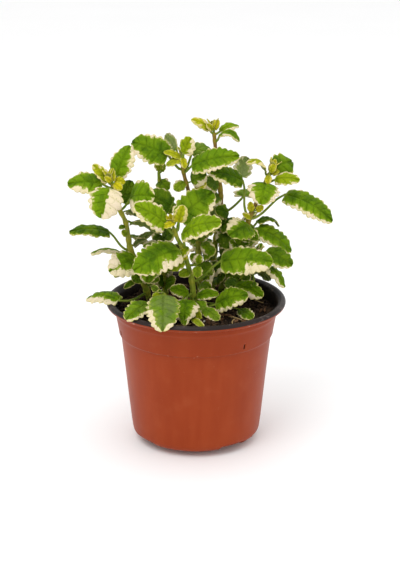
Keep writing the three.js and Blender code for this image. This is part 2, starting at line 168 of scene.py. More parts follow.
# %% Shader arithmetic
class Socket:
    """One output socket in a node tree, with operators that add Math nodes."""

    def __init__(self, tree, socket=None):
        self.tree = tree
        self.socket = socket

    def node(self, kind, settings=None, inputs=None, output=0):
        """Adds a node: its settings first, then values or links for its sockets."""
        made = self.tree.nodes.new(kind)
        for key, value in (settings or {}).items():
            setattr(made, key, value)
        for key, value in (inputs or {}).items():
            if isinstance(value, Socket):
                self.tree.links.new(value.socket, made.inputs[key])
            else:
                made.inputs[key].default_value = value
        return Socket(self.tree, made.outputs[output])

    def math(self, operation, *values):
        """A Math node on this socket and the given values or sockets."""
        inputs = dict(enumerate((self, *values)))
        return self.node("ShaderNodeMath", {"operation": operation}, inputs)

    def __add__(self, other):
        return self.math("ADD", other)

    __radd__ = __add__

    def __mul__(self, other):
        return self.math("MULTIPLY", other)

    __rmul__ = __mul__

    def __sub__(self, other):
        return self.math("SUBTRACT", other)

    def __rsub__(self, other):
        return self.node("ShaderNodeMath", {"operation": "SUBTRACT"}, {0: other, 1: self})

    def step(self, low, high):
        """An S-shaped ramp from 0 at low to 1 at high."""
        return self.node("ShaderNodeMapRange", {"interpolation_type": "SMOOTHSTEP"},
                         {"Value": self, "From Min": low, "From Max": high})

    def parts(self):
        """The three numbers of a vector."""
        split = self.tree.nodes.new("ShaderNodeSeparateXYZ")
        self.tree.links.new(self.socket, split.inputs[0])
        return [Socket(self.tree, out) for out in split.outputs]

    def colours(self, first, second):
        """first where this socket is 0, second where it is 1. Colours are red, green, blue."""
        full = [(*c, 1) if isinstance(c, tuple) else c for c in (first, second)]
        return self.node("ShaderNodeMix", {"data_type": "RGBA"},
                         {0: self, 6: full[0], 7: full[1]}, 2)


def new_material(name):
    """An empty node material and the Socket that its nodes are added from."""
    material = bpy.data.materials.new(name)
    material.use_nodes = True
    material.node_tree.nodes.clear()
    return material, Socket(material.node_tree)


def noise(maker, where, scale, detail=2.0, roughness=0.5):
    """Cloudy variation from 0 to 1, at so many waves a metre."""
    return maker.node("ShaderNodeTexNoise", {}, {
        "Vector": where, "Scale": scale, "Detail": detail, "Roughness": roughness})


def object_place(maker):
    """The place on the piece, in metres in the shared frame."""
    return maker.node("ShaderNodeTexCoord", {}, {}, 3)


def attribute(maker, name):
    """The three numbers of a point attribute."""
    return maker.node("ShaderNodeAttribute", {"attribute_name": name}, {}, 1).parts()


def bump(maker, height, distance, strength=1.0):
    """A normal tilted by a height from 0 to 1, which stands for so many metres."""
    return maker.node("ShaderNodeBump", {}, {
        "Height": height, "Distance": distance, "Strength": strength})


def finish(maker, colour, rough, normal=None, **fixed):
    """Principled surface: colour, roughness and normal may vary, all else is a fixed number."""
    shader = maker.node("ShaderNodeBsdfPrincipled", {}, {"Base Color": colour, "Roughness": rough})
    principled = shader.socket.node
    if normal is not None:
        maker.tree.links.new(normal.socket, principled.inputs["Normal"])
    for key, value in fixed.items():
        principled.inputs[key.replace("_", " ")].default_value = value
    out = maker.tree.nodes.new("ShaderNodeOutputMaterial")
    maker.tree.links.new(shader.socket, out.inputs["Surface"])


def srgb(code):
    """A colour written as on a paint chart, such as 9a3c1c, as linear red, green, blue."""
    values = np.array([int(code[i:i + 2], 16) for i in (0, 2, 4)]) / 255
    linear = np.where(values <= 0.04045, values / 12.92, ((values + 0.055) / 1.055) ** 2.4)
    return tuple(float(v) for v in linear)


print("shader helpers ready")

# %% [markdown]
# The stage is plain: a pale floor that runs into a pale surround, one large soft light above
# and in front to the left, a weaker one from the right, and one straight overhead. The camera
# stands about a metre away and looks down by 18 degrees, so that the rim shows as an open
# ellipse and the soil behind it can be seen. It aims a little above the rim, at the middle of
# the pot and plant together.

# %% Stage, camera and lights
scene = bpy.context.scene
scene.view_settings.view_transform = "Standard"
TILT = np.radians(18.4)
DISTANCE = 1.0
AIM = np.array([2.7 * MM, 0, HEIGHT + 8.5 * MM])
view_line = np.array([0, np.cos(TILT), -np.sin(TILT)])

camera = bpy.data.cameras.new("camera")
camera.sensor_width = 36
camera.lens = 94.6
camera_object = bpy.data.objects.new("camera", camera)
camera_object.location = AIM - view_line * DISTANCE
camera_object.rotation_euler = (np.pi / 2 - TILT, 0, 0)
scene.collection.objects.link(camera_object)
scene.camera = camera_object

world = bpy.data.worlds.new("surround")
world.use_nodes = True
world.node_tree.nodes["Background"].inputs["Color"].default_value = (1, 1, 1, 1)
world.node_tree.nodes["Background"].inputs["Strength"].default_value = 1.0
scene.world = world


def soft_light(name, place, aim, size, power):
    """A square area light at a place, turned to face a point."""
    light = bpy.data.lights.new(name, "AREA")
    light.shape = "SQUARE"
    light.size = size
    light.energy = power
    lamp = bpy.data.objects.new(name, light)
    lamp.location = place
    lamp.rotation_euler = (Vector(aim) - Vector(place)).to_track_quat("-Z", "Y").to_euler()
    scene.collection.objects.link(lamp)


soft_light("key", (-0.5, -0.8, 1.4), (0, 0, 0.12), 0.8, 7.5)
soft_light("fill", (0.9, -0.7, 0.7), (0, 0, 0.1), 0.9, 1)
soft_light("top", (0.05, 0.15, 1.6), (0.05, 0.15, 0), 1.2, 2.5)

floor_mesh = bpy.data.meshes.new("floor")
floor_mesh.from_pydata([(-8, -8, 0), (8, -8, 0), (8, 8, 0), (-8, 8, 0)], [], [(0, 1, 2, 3)])
floor = bpy.data.objects.new("floor", floor_mesh)
scene.collection.objects.link(floor)
floor_material, maker = new_material("pale_floor")
cloud = noise(maker, object_place(maker), 6.0)
finish(maker, cloud.colours((0.93, 0.93, 0.93), (0.96, 0.96, 0.96)), 0.7)
floor_mesh.materials.append(floor_material)
print("stage set")

# %% [markdown]
# The pot is vacuum-formed from one thin sheet, so it is a surface of revolution: one profile,
# a list of radii and heights, carried round the axis. The profile goes from the middle of the
# base, out along the ground, up the outside, over the rolled rim and down the inside, so that
# the wall has two faces. Four drainage channels cross the edge of the base. There the lowest part
# of both faces is lifted to a flat roof, which keeps the pot one closed surface.

# %% Pot shape
WALL = 1.0 * MM
RIM_BASE = HEIGHT - 4 * MM
COLLAR = RIM - 5 * MM
SHOULDER = 75 * MM
SHOULDER_RADIUS = 51.8 / 60 * RIM
FOOT = 30 * MM
AXIS = 0.5 * MM
CHANNEL_LIFT = 6.3 * MM
CHANNEL_HALF = FOOT * np.sin(np.radians(18))
CHANNEL_BEARINGS = np.radians(36 - 90 + 90 * np.arange(4))


def pot_profile():
    """Radius, height and side (0 outside, 1 dark rim and inside) of the wall's section."""
    upper = SHOULDER_RADIUS - 1.3 * MM
    roll = [(COLLAR + 0.3 * MM, RIM_BASE - 0.3 * MM, 0), (COLLAR + 0.5 * MM, RIM_BASE, 1)]
    for turn in np.radians(np.linspace(-100, 120, 23)):
        roll.append((RIM - 2.1 * MM + 2.1 * MM * np.cos(turn),
                     HEIGHT - 2.1 * MM + 2.1 * MM * np.sin(turn), 1))
    outside = [
        (AXIS, 0, 0), (10 * MM, 0, 0), (20 * MM, 0, 0), (FOOT - 1 * MM, 0, 0),
        (FOOT + 0.5 * MM, 0.15 * MM, 0), (34.5 * MM, 1.65 * MM, 0), (39 * MM, 3.3 * MM, 0),
        (40.8 * MM, 4.2 * MM, 0), (42.2 * MM, 5.3 * MM, 0), (43 * MM, 6.6 * MM, 0),
        (43.4 * MM, 8.4 * MM, 0), (44.2 * MM, 15 * MM, 0), (47.2 * MM, 45 * MM, 0),
        (upper - 0.35 * MM, SHOULDER - 4 * MM, 0), (upper, SHOULDER - 1 * MM, 0),
        (upper + 0.3 * MM, SHOULDER - 0.4 * MM, 0), (SHOULDER_RADIUS - 0.2 * MM, SHOULDER, 0),
        (SHOULDER_RADIUS, SHOULDER + 0.5 * MM, 0),
        (SHOULDER_RADIUS + 0.3 * MM, SHOULDER + 3 * MM, 0),
        (COLLAR - 0.9 * MM, RIM_BASE - 5.4 * MM, 0), (COLLAR - 0.55 * MM, RIM_BASE - 5 * MM, 0),
        (COLLAR - 0.25 * MM, RIM_BASE - 4.4 * MM, 0), (COLLAR - 0.1 * MM, RIM_BASE - 2 * MM, 0)]
    inside = [
        (COLLAR + 0.3 * MM, HEIGHT - 1.2 * MM, 1), (COLLAR - 0.7 * MM, HEIGHT - 3.2 * MM, 1),
        (COLLAR - 1.2 * MM, RIM_BASE - 2 * MM, 1), (SHOULDER_RADIUS - WALL, SHOULDER + 1 * MM, 1),
        (upper - WALL, SHOULDER - 1 * MM, 1), (46.2 * MM, 45 * MM, 1), (42.3 * MM, 8.8 * MM, 1),
        (41.3 * MM, 6.2 * MM, 1), (38.6 * MM, 4.4 * MM, 1), (34 * MM, 2.6 * MM, 1),
        (FOOT, 1.2 * MM, 1), (20 * MM, 1.2 * MM, 1), (10 * MM, 1.2 * MM, 1),
        (AXIS, 1.2 * MM, 1)]
    return np.array(outside + roll + inside)


def spread_profile(profile, longest):
    """The same profile with extra points, so that no stretch is longer than the given length."""
    rows = [profile[:1]]
    for start, end in zip(profile[:-1], profile[1:]):
        count = max(1, int(np.ceil(np.hypot(*(end - start)[:2]) / longest)))
        share = np.linspace(0, 1, count + 1)[1:, None]
        step = start + (end - start) * share
        step[:-1, 2] = start[2]
        rows.append(step)
    return np.concatenate(rows)


POT_SIDES = 240
profile = spread_profile(pot_profile(), 2 * MM)
turn = np.linspace(0, 2 * np.pi, POT_SIDES, endpoint=False)
radius, level, inner = (np.repeat(column[:, None], POT_SIDES, 1) for column in profile.T)


def channel_share(x, y):
    """1 inside a drainage channel, 0 outside, with sides that slope over 0.8 mm."""
    share = 0
    for bearing in CHANNEL_BEARINGS:
        along = x * np.cos(bearing) + y * np.sin(bearing)
        across = np.abs(y * np.cos(bearing) - x * np.sin(bearing))
        inside = 1 - smoothstep(CHANNEL_HALF - 0.6 * MM, CHANNEL_HALF + 0.6 * MM, across)
        share = np.maximum(share, inside * smoothstep(0.66 * FOOT, 0.72 * FOOT, along))
    return share


x, y = radius * np.cos(turn), radius * np.sin(turn)
roof = channel_share(x, y) * (CHANNEL_LIFT + inner * WALL)
level = np.where(level < 10 * MM, np.maximum(level, roof), level)
wobble = 0.15 * MM * ripple(np.cos(turn) * 2.5 + level / (30 * MM), np.sin(turn) * 2.5, 4)
radius = radius + wobble * smoothstep(30 * MM, 40 * MM, radius)
rings = np.stack([radius * np.cos(turn), radius * np.sin(turn), level], -1)
pot = make_object("pot_moulding", [skin_piece(rings)])
print("pot", len(pot.data.vertices), "points")

# %% [markdown]
# Two things go right through the sheet: a drain hole in each channel, and three short upright
# slits above the shoulder that let air in where stacked pots would jam. A Boolean modifier cuts
# them, which keeps the wall closed, and it is applied so that the finished mesh is plain. The
# bearings are from +X; the slit on the left is the widest.

# %% Drain holes and slits
SLIT_BEARINGS = np.radians(np.array([-162.0, -53.0, 70.0]))
SLIT_WIDTHS = np.array([2.2, 1.0, 1.0]) * MM
HOLE_RADIUS = 3 * MM
HOLE_REACH = 0.68 * FOOT + 5 * MM


def block(centre, along, across, size):
    """A box with its long axis given: eight corners from signs times half sizes."""
    up = np.cross(along, across)
    signs = np.array([[x, y, z] for x in (-1, 1) for y in (-1, 1) for z in (-1, 1)])
    corners = centre + (signs * np.array(size) / 2) @ np.array([along, across, up])
    faces = np.array([[0, 1, 3, 2], [4, 6, 7, 5], [0, 4, 5, 1], [2, 3, 7, 6], [0, 2, 6, 4],
                      [1, 5, 7, 3]])
    return corners, faces, np.empty((0, 3), int)


def post(centre, radius, height, count=24):
    """An upright cylinder as a stack of two rings."""
    turn = np.linspace(0, 2 * np.pi, count, endpoint=False)
    ring = np.stack([radius * np.cos(turn), radius * np.sin(turn), 0 * turn], -1)
    lift = np.array([0, 0, height / 2])
    return skin_piece(np.stack([centre + ring - lift, centre + ring + lift]))


cutters = []
for bearing in CHANNEL_BEARINGS:
    spot = np.array([np.cos(bearing), np.sin(bearing), 0]) * HOLE_REACH
    cutters.append(post(spot, HOLE_RADIUS, 24 * MM))
for bearing, slit_width in zip(SLIT_BEARINGS, SLIT_WIDTHS):
    out = np.array([np.cos(bearing), np.sin(bearing), 0])
    across = np.array([-np.sin(bearing), np.cos(bearing), 0])
    centre = out * (SHOULDER_RADIUS + 0.6 * MM) + np.array([0, 0, SHOULDER + 3.7 * MM])
    cutters.append(block(centre, out, across, (2.6 * MM, slit_width, 3.4 * MM)))
cutter = make_object("cutters", cutters, smooth=False)
cut = pot.modifiers.new("holes", "BOOLEAN")
cut.object = cutter
cut.solver = "EXACT"
with bpy.context.temp_override(object=pot, active_object=pot):
    bpy.ops.object.modifier_apply(modifier="holes")
bpy.data.objects.remove(cutter)

# The dark side of the sheet: the rim, and whatever lies deeper than half the wall.
count = len(pot.data.vertices)
points = np.empty(count * 3, np.float32)
pot.data.vertices.foreach_get("co", points)
points = points.reshape(-1, 3)
outer = profile[:, 2] < 0.5
wall_line = profile[outer][profile[outer][:, 0] > FOOT - 1 * MM]
outside_radius = np.interp(points[:, 2], wall_line[:, 1], wall_line[:, 0])
reach = np.hypot(points[:, 0], points[:, 1])
floor_middle = 0.6 * MM + channel_share(points[:, 0], points[:, 1]) * CHANNEL_LIFT
deep = (outside_radius - reach > 0.5 * WALL) & (points[:, 2] > floor_middle)
deep |= points[:, 2] > HEIGHT - 2.4 * MM
layer = pot.data.attributes.new("sheet", "FLOAT_VECTOR", "POINT")
layer.data.foreach_set("vector", np.repeat(deep.astype(np.float32), 3))
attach(pot, "root")
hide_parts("pot")
print("pot after cutting", len(pot.data.polygons), "faces")

# %% [markdown]
# The sheet is two colours pressed together: terracotta outside, brown-black inside and over the
# rim. Thin plastic has soft broad highlights, faint streaks down the wall from drawing the
# sheet, and dust on the shoulder and rim. Pale rubs on the lip where pots have been stacked
# also serve as a painted highlight along the lip, and the upper wall and collar are painted
# darker as painted shade under the rim and the leaves.

# %% Pot plastic
pot_material, maker = new_material("two_tone_plastic")
place = object_place(maker)
x, y, z = place.parts()
is_dark = attribute(maker, "sheet")[0]
streaks = noise(maker, maker.node("ShaderNodeMapping", {}, {
    "Vector": place, "Scale": (1, 1, 0.12)}), 160, 3)
clouds = noise(maker, place, 22, 3)
grain = noise(maker, place, 1400, 2)
mottle = (streaks * 0.5 + clouds * 0.5).step(0.3, 0.7)
terracotta = mottle.colours(srgb("8c3410"), srgb("963c17"))
# Painted shade: the wall is made darker from a little below the shoulder up to the rim, for the
# shadow of the rim and the leaves.
painted_collar_shade = z.step(SHOULDER - 12 * MM, SHOULDER + 4 * MM)
terracotta = (painted_collar_shade * 0.5).colours(terracotta, srgb("852f0c"))
specks = noise(maker, place, 420, 4, 0.7).step(0.66, 0.74)
terracotta = (specks * 0.35).colours(terracotta, srgb("b87454"))
terracotta = (noise(maker, place, 90, 4).step(0.5, 0.75) * 0.2).colours(terracotta, srgb("a04c2a"))
edges = (1 - (z - SHOULDER).math("ABSOLUTE").step(0.2 * MM, 1.5 * MM)).math(
    "MAXIMUM", z.step(HEIGHT - 5 * MM, HEIGHT - 3.5 * MM))
scuffs = noise(maker, place, 260, 5, 0.7).step(0.6, 0.68) * edges
terracotta = (scuffs * 0.55).colours(terracotta, srgb("c99a84"))
black = clouds.step(0.35, 0.65).colours(srgb("1c1412"), srgb("2b2220"))
# Pale grey-purple rubs on the lip where pots have been stacked, which also stand in as a painted
# highlight along the lip.
rubs_and_lip_highlight = noise(maker, maker.node("ShaderNodeMapping", {}, {
    "Vector": place, "Scale": (1, 1, 3)}), 130, 4, 0.7).step(0.52, 0.72)
lip = z.step(HEIGHT - 4.5 * MM, HEIGHT - 1.5 * MM)
black = (rubs_and_lip_highlight * lip * 0.75).colours(black, srgb("6a5c56"))
plastic = is_dark.step(0.4, 0.6).colours(terracotta, black)
gloss = streaks * 0.12 + grain * 0.08 + 0.3 + rubs_and_lip_highlight * lip * 0.12
finish(maker, plastic, gloss, bump(maker, grain * 0.6 + streaks * 0.6, 0.12 * MM, 0.5),
       Specular_IOR_Level=0.14)
pot.data.materials.append(pot_material)
print("pot plastic done")

# %% [markdown]
# The CAD leaf is a coarse stack of six-cornered rings, and the CAD stem a stack of eight-cornered
# ones. Walking from ring to ring through the triangles gives back the line that the part was
# built on: ring centres along the stalk, then the midrib, with the blade's width at each ring.
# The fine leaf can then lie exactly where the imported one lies.


# %% Reading the rings of a CAD node
def corner_mesh(name):
    """A CAD node's corner points, each once, and its triangles."""
    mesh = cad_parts[name].data
    points = np.empty(len(mesh.vertices) * 3, np.float32)
    mesh.vertices.foreach_get("co", points)
    points = points.reshape(-1, 3)
    mesh.calc_loop_triangles()
    triangles = np.empty(len(mesh.loop_triangles) * 3, np.int32)
    mesh.loop_triangles.foreach_get("vertices", triangles)
    keys = np.round(points * 1e6).astype(np.int64)
    _, first, same = np.unique(keys, axis=0, return_index=True, return_inverse=True)
    return points[first].astype(float), same.reshape(-1)[triangles.reshape(-1, 3)]


def walk_rings(points, triangles, ring):
    """The rings of a tube in order from its first ring, or None if that isn't an end ring."""
    seen = np.zeros(len(points), bool)
    count = len(ring)
    rings = []
    while len(ring) == count:
        seen[ring] = True
        rings.append(points[ring])
        touching = np.isin(triangles, ring).any(1)
        ring = np.setdiff1d(triangles[touching], np.flatnonzero(seen))
    return np.array(rings) if seen.all() else None


def rings_from(points, triangles, gaps, count):
    """Rings of a tube, starting at the end whose corners have the smallest gaps."""
    for corner in np.argsort(gaps):
        start = np.argsort(np.linalg.norm(points - points[corner], axis=1))[:count]
        rings = walk_rings(points, triangles, start)
        if rings is not None:
            return rings
    raise ValueError("no end ring found")


SHOOTS = sorted(name[5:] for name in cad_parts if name.startswith("stem_"))
STEM_CORNERS = 8
BUD_RINGS = 4
stem_line, stem_radius = {}, {}
for shoot in SHOOTS:
    points, triangles = corner_mesh("stem_" + shoot)
    rings = walk_rings(points, triangles, np.argsort(points[:, 2])[:STEM_CORNERS])
    centres = rings.mean(1)
    stem_line[shoot] = centres[:-BUD_RINGS]
    stem_radius[shoot] = np.linalg.norm(rings - centres[:, None], axis=2).mean(1)[:-BUD_RINGS]


def fine_line(shoot, step=0.4 * MM):
    """The shoot's centre line as closely spaced points."""
    line = stem_line[shoot]
    along = np.append(0, np.cumsum(np.linalg.norm(np.diff(line, axis=0), axis=1)))
    return glide(along, line, np.linspace(0, along[-1], int(along[-1] / step) + 2))


print({shoot: len(line) for shoot, line in stem_line.items()})

# %% [markdown]
# A plectranthus leaf is one thin sheet. Across it, u runs from one margin to the other; along
# it, s runs from the neck to the tip. These rules turn (u, s) into a place:
# the midrib is a curve; the half width is W sqrt(q (1 - q)) with q = s^0.8, wide below the middle;
# the margin has rounded teeth, cut by a notch where one tooth meets the next; the tissue bulges
# up between the side veins and sinks along the midrib; the margins turn down and ruffle.
# The underside is the same sheet a little lower, with the midrib standing out as a keel.


# %% Leaf surface
def leaf_rings(stalk, knots, midrib, side, width, seed, rows=76, half_columns=31,
               stalk_radius=0.75 * MM):
    """Closed leaf as rings, with its point attributes.

    place = midrib(s) + S * w(s) * u * (1 - notch(s) |u|^3) + T * base shift + U * height, with
    height = fold w |u|^1.5 + twist w u s + ruffle |u|^3 + quilt - groove on the upper side, with
    fold from -0.24 to -0.12 and twist from -0.12 to 0.12, drawn for each leaf. The under side is
    lower by the thickness, 0.5 mm near the midrib and 0.25 mm at the margin, with a keel.
    """
    rng = np.random.default_rng(seed)
    s = 1 - np.linspace(1, 0.04, rows) ** 1.15
    s = s / s[-1] * 0.997
    blade = glide(knots, midrib, s)
    length = np.linalg.norm(np.diff(blade, axis=0), axis=1).sum()
    along = np.append(0, np.cumsum(np.linalg.norm(np.diff(stalk, axis=0), axis=1)))
    stalk_rows = max(6, int(along[-1] / (1.1 * MM)))
    path = np.vstack([glide(along, stalk, np.linspace(0, along[-1], stalk_rows))[:-1], blade])
    s = np.append(np.full(stalk_rows - 1, 0.0), s)
    tangent = unit(np.gradient(path, axis=0))
    sides = np.empty_like(path)
    sides[-1] = side
    for row in range(len(path) - 2, -1, -1):
        sides[row] = sides[row + 1] - tangent[row] * (sides[row + 1] @ tangent[row])
        sides[row] /= np.linalg.norm(sides[row])
    ups = np.cross(tangent, sides)

    x = np.linspace(1, -1, half_columns)
    u = 0.75 * x + 0.25 * x**3
    u = np.append(u, u[::-1])[None, :]
    lower = np.append(np.zeros(half_columns), np.ones(half_columns))[None, :]
    s = s[:, None]
    edge = np.abs(u)

    # Half width, and the share of it that notches between teeth take, by place on the margin.
    bulk = np.clip(s, 0, 1) ** 0.8
    half = 1.07 * width * np.sqrt(bulk * (1 - bulk))
    margin = np.append(0, np.cumsum(np.hypot(np.diff(s[:, 0]) * length, np.diff(half[:, 0]))))
    margin = (margin / margin[-1])[:, None]
    teeth = max(3, round(length / (3.4 * MM)))
    shift = np.where(u > 0, *rng.uniform(-0.2, 0.2, 2))
    phase = (margin * (teeth + 0.4) + shift) % 1
    bite = 1 - np.abs(np.sin(np.pi * phase**1.4)) ** 0.75
    depth = np.where(u > 0, *rng.uniform(0.13, 0.2, 2)) * smoothstep(0.05, 0.2, s)
    half = np.maximum(half, 0.12 * MM)
    sideways = half * u * (1 - depth * bite * edge**3)

    # Height of the upper side.
    ribs = max(3, round(length / (5.5 * MM)))
    rib = s * ribs - 0.75 * edge
    bulge = np.abs(np.sin(np.pi * rib)) ** 0.7
    between = smoothstep(0.03, 0.25, edge) * (1 - smoothstep(0.75, 1, edge))
    size = min(1, width / (18 * MM))
    lobes = rng.uniform(0, 2 * np.pi, 4)
    ruffle = np.where(u > 0, np.sin(s * 11 + lobes[0]) + 0.6 * np.sin(s * 23 + lobes[1]),
                      np.sin(s * 12 + lobes[2]) + 0.6 * np.sin(s * 21 + lobes[3]))
    middle = np.exp(-((u * half) / (0.7 * MM)) ** 2)
    fold = rng.uniform(-0.24, -0.12)
    twist = rng.uniform(-0.12, 0.12)
    height = (fold * half * edge**1.5 + twist * half * u * s
              + size * MM * (0.65 * ruffle * edge**3 * smoothstep(0.05, 0.3, s)
                             + 0.8 * bulge * between - 0.45 * middle))
    thick = (0.5 - 0.25 * edge) * MM + 0.45 * MM * size * middle * (1 - s)
    height = height - lower * thick
    backward = -0.07 * length * edge**2 * (1 - smoothstep(0, 0.4, s)) * smoothstep(0, 0.03, s)
    backward = backward + 0.02 * length * edge**2 * smoothstep(0.3, 0.8, s)

    # The stalk is round, and opens into the blade where the blade grows wider than it.
    angle = np.arccos(np.clip(u, -1, 1)) * np.where(lower > 0, -1, 1)
    stout = np.linspace(1.25, 1, stalk_rows)[:, None]
    stout = stalk_radius * np.vstack([stout, np.ones((rows - 1, 1))])
    round_side = stout * np.cos(angle)
    round_up = stout * np.sin(angle) * 0.9
    open_out = smoothstep(0.0, 0.07, s)
    sideways = round_side + (sideways - round_side) * open_out
    height = round_up + (height - round_up) * open_out
    backward = backward * open_out

    rings = (path[:, None] + sides[:, None] * sideways[..., None]
             + ups[:, None] * height[..., None] + tangent[:, None] * backward[..., None])
    across = sideways / MM
    edge_mm = (half * (1 - edge)) / MM
    return rings, {"u": u + 0 * s, "s": s + 0 * u, "rib": rib, "across": across, "edge": edge_mm,
                   "under": lower + 0 * s, "stalk": 1 - open_out + 0 * u}


SECTORS = 23


def leaf_layers(grid, tone, grey, margin, patches, seed):
    """Point attributes for the shader: place on the blade, cream field and tones.

    The cream field is (depth of the cream at this place) - (distance from the edge as a share
    of the half width): above 0 the tissue is cream. The depth changes from one vein sector
    to the next, as the two tissues follow the cell lines between veins.
    """
    rng = np.random.default_rng(seed + 900)
    u, s = grid["u"], grid["s"]
    sector = np.floor(grid["rib"] * 2).astype(int) % SECTORS
    left_jag, right_jag = rng.uniform(0.2, 1.8, (2, SECTORS))
    jag = np.where(u > 0, left_jag[sector], right_jag[sector])
    astray = 0.22 * (rng.uniform(0, 1, SECTORS)[sector] - 0.3)
    depth = margin * jag
    for patch_side, low, high, deep in patches:
        inside = smoothstep(low - 0.05, low + 0.03, s)
        inside = inside * (1 - smoothstep(high - 0.03, high + 0.05, s))
        if patch_side:
            inside = inside * smoothstep(-0.12, 0.06, patch_side * u - astray)
        depth = np.maximum(depth, inside * (deep * (0.65 + 0.35 * jag) if deep < 1 else 1.15))
    field = depth - (1 - np.abs(u))
    ends = np.zeros((2, 3))
    layers = {
        "blade": (grid["across"], s, grid["rib"]),
        "tint": (field, np.full_like(u, tone), grid["under"]),
        "shade": (np.full_like(u, grey), grid["stalk"], grid["edge"])}
    return {key: np.vstack([np.stack(value, -1).reshape(-1, 3), ends])
            for key, value in layers.items()}


print("leaf rule ready")

# %% [markdown]
# Each leaf has its own mix of green, grey-green and cream. The list gives, for each leaf: how
# yellow its green is, how grey, how deep the cream goes in from the margin all round, and any
# larger cream patches as (side, from s, to s, depth). Side +1 is the left half when the upper
# face is seen with the tip up, -1 the right half and 0 both.

# %% Colours of each leaf
LOOKS = {
    "left_01": (0.7, 0, 0.35, ()),
    "left_02": (0.35, 0, 0.12, ((-1, 0.35, 1, 0.5),)),
    "left_03": (0.35, 0, 0.1, ((1, 0.45, 0.9, 0.45),)),
    "left_04": (0.4, 0, 0.08, ((1, 0, 1, 1), (-1, 0, 1, 0.25))),
    "left_05": (0.1, 0, 0.03, ()),
    "left_06": (0.35, 0, 0.1, ((-1, 0, 0.6, 0.7), (0, 0.85, 1, 0.6))),
    "left_07": (0.5, 0.3, 0.1, ()),
    "left_08": (0.1, 0, 0.04, ()),
    "left_09": (0.4, 0.2, 0.3, ((0, 0, 1, 0.6),)),
    "left_10": (0.2, 0.2, 0.1, ((0, 0, 0.3, 0.5),)),
    "left_11": (0.3, 0, 0.1, ((1, 0, 1, 0.35), (0, 0.6, 1, 0.8))),
    "left_12": (0.25, 0, 0.08, ((-1, 0, 1, 0.3),)),
    "left_13": (0.3, 0, 0.06, ((1, 0, 1, 0.5),)),
    "front_01": (0.8, 0, 0.1, ((-1, 0, 1, 0.5), (1, 0, 1, 0.25))),
    "front_02": (0.5, 0, 0.14, ((1, 0, 1, 0.25), (-1, 0.3, 1, 0.2))),
    "front_03": (0.25, 0, 0.04, ((-1, 0, 1, 0.15), (-1, 0.3, 0.45, 0.3), (-1, 0.65, 0.8, 0.3))),
    "front_04": (0.3, 0, 0.05, ((1, 0, 0.5, 0.45), (1, 0.5, 1, 0.15))),
    "front_05": (0.5, 0, 0.08, ((-1, 0, 1, 0.2), (1, 0, 1, 0.1))),
    "front_06": (0.3, 0, 0.08, ((-1, 0.5, 0.9, 0.6),)),
    "front_07": (0.4, 0, 0.2, ()),
    "front_08": (0.4, 0, 0.2, ()),
    "front_09": (0.3, 0, 0.06, ((-1, 0, 1, 0.45), (1, 0.4, 1, 0.4))),
    "front_10": (0.3, 0, 0.05, ((-1, 0, 1, 0.25), (-1, 0.6, 0.9, 0.5))),
    "low_front_01": (0.3, 0.7, 0.05, ((-1, 0.5, 1, 0.4), (0, 0.85, 1, 0.5))),
    "low_front_02": (0.3, 0.2, 0.05, ((1, 0, 1, 0.3),)),
    "mid_left_01": (0.4, 0.3, 0.15, ((0, 0, 1, 0.6),)),
    "centre_01": (0.05, 0, 0.02, ()),
    "centre_02": (0.25, 0, 0.05, ((-1, 0.3, 0.8, 0.2), (1, 0.5, 1, 0.3))),
    "centre_03": (0.3, 0, 0.04, ((-1, 0, 1, 0.2),)),
    "centre_04": (0.2, 0.4, 0.05, ((1, 0.5, 1, 0.4),)),
    "centre_05": (0.4, 0.5, 0.4, ()),
    "centre_06": (0.6, 0, 0.1, ((-1, 0, 1, 0.6),)),
    "back_01": (0.8, 0, 0.45, ()),
    "back_02": (0.5, 0, 0.06, ((-1, 0, 1, 0.4),)),
    "back_03": (0.3, 0, 0.3, ()),
    "back_04": (0.2, 0.6, 0.3, ()),
    "back_05": (0.3, 0.2, 0.4, ()),
    "right_01": (0.7, 0, 0.5, ()),
    "right_02": (0.2, 0, 0.06, ()),
    "right_03": (0.6, 0, 0.25, ()),
    "right_04": (0.35, 0, 0.05, ((-1, 0.3, 1, 0.4), (1, 0, 1, 0.2))),
    "right_05": (0.1, 0, 0.03, ((1, 0.5, 1, 0.3),)),
    "right_06": (0.3, 0, 0.05, ((-1, 0.25, 1, 0.25),)),
    "right_07": (0.4, 0, 0.08, ((-1, 0, 1, 0.18),)),
    "right_08": (0.25, 0, 0.04, ((-1, 0.2, 0.9, 0.6), (1, 0, 1, 0.05))),
    "right_09": (0.05, 0, 0.02, ()),
    "low_right_01": (0.1, 0, 0.03, ((-1, 0, 1, 0.2),)),
    "low_right_02": (0.3, 0, 0.05, ((-1, 0, 1, 0.45),)),
    "low_right_03": (0.7, 0.5, 0.1, ()),
    "low_right_04": (0.3, 0, 0.05, ((-1, 0, 1, 0.5),)),
}
print(len(LOOKS), "leaves described")

# %% [markdown]
# Cream and green tissue differ in how much light they soak up, not in shape, so one material
# serves every leaf and the attributes steer it. It has the veins, sunk and painted darker: the
# midrib in its own darker green, the side veins with painted shade along their creases; a fine
# net of veinlets that makes the skin look quilted; a paler band between green and cream;
# freckles of one tissue in the other; a thin yellow outline; and a greyer underside with raised
# veins.

# %% Leaf material
leaf_material, maker = new_material("variegated_leaf")
place = object_place(maker)
across, _, rib = attribute(maker, "blade")
field, tone, under = attribute(maker, "tint")
grey, stalk, edge = attribute(maker, "shade")
cloud = noise(maker, place, 95, 3)
cells = noise(maker, place, 900, 3, 0.6)
flecks = noise(maker, place, 420, 4, 0.65)

net = maker.node("ShaderNodeTexVoronoi", {"feature": "DISTANCE_TO_EDGE"}, {
    "Vector": place, "Scale": 620.0})
veinlet = 1 - net.step(0.0, 0.16)
rib_near = rib.math("PINGPONG", 0.5)
side_vein = 1 - rib_near.step(0.015, 0.09)
main_vein = 1 - across.math("ABSOLUTE").step(0.22, 0.75)
veins = side_vein.math("MAXIMUM", main_vein)

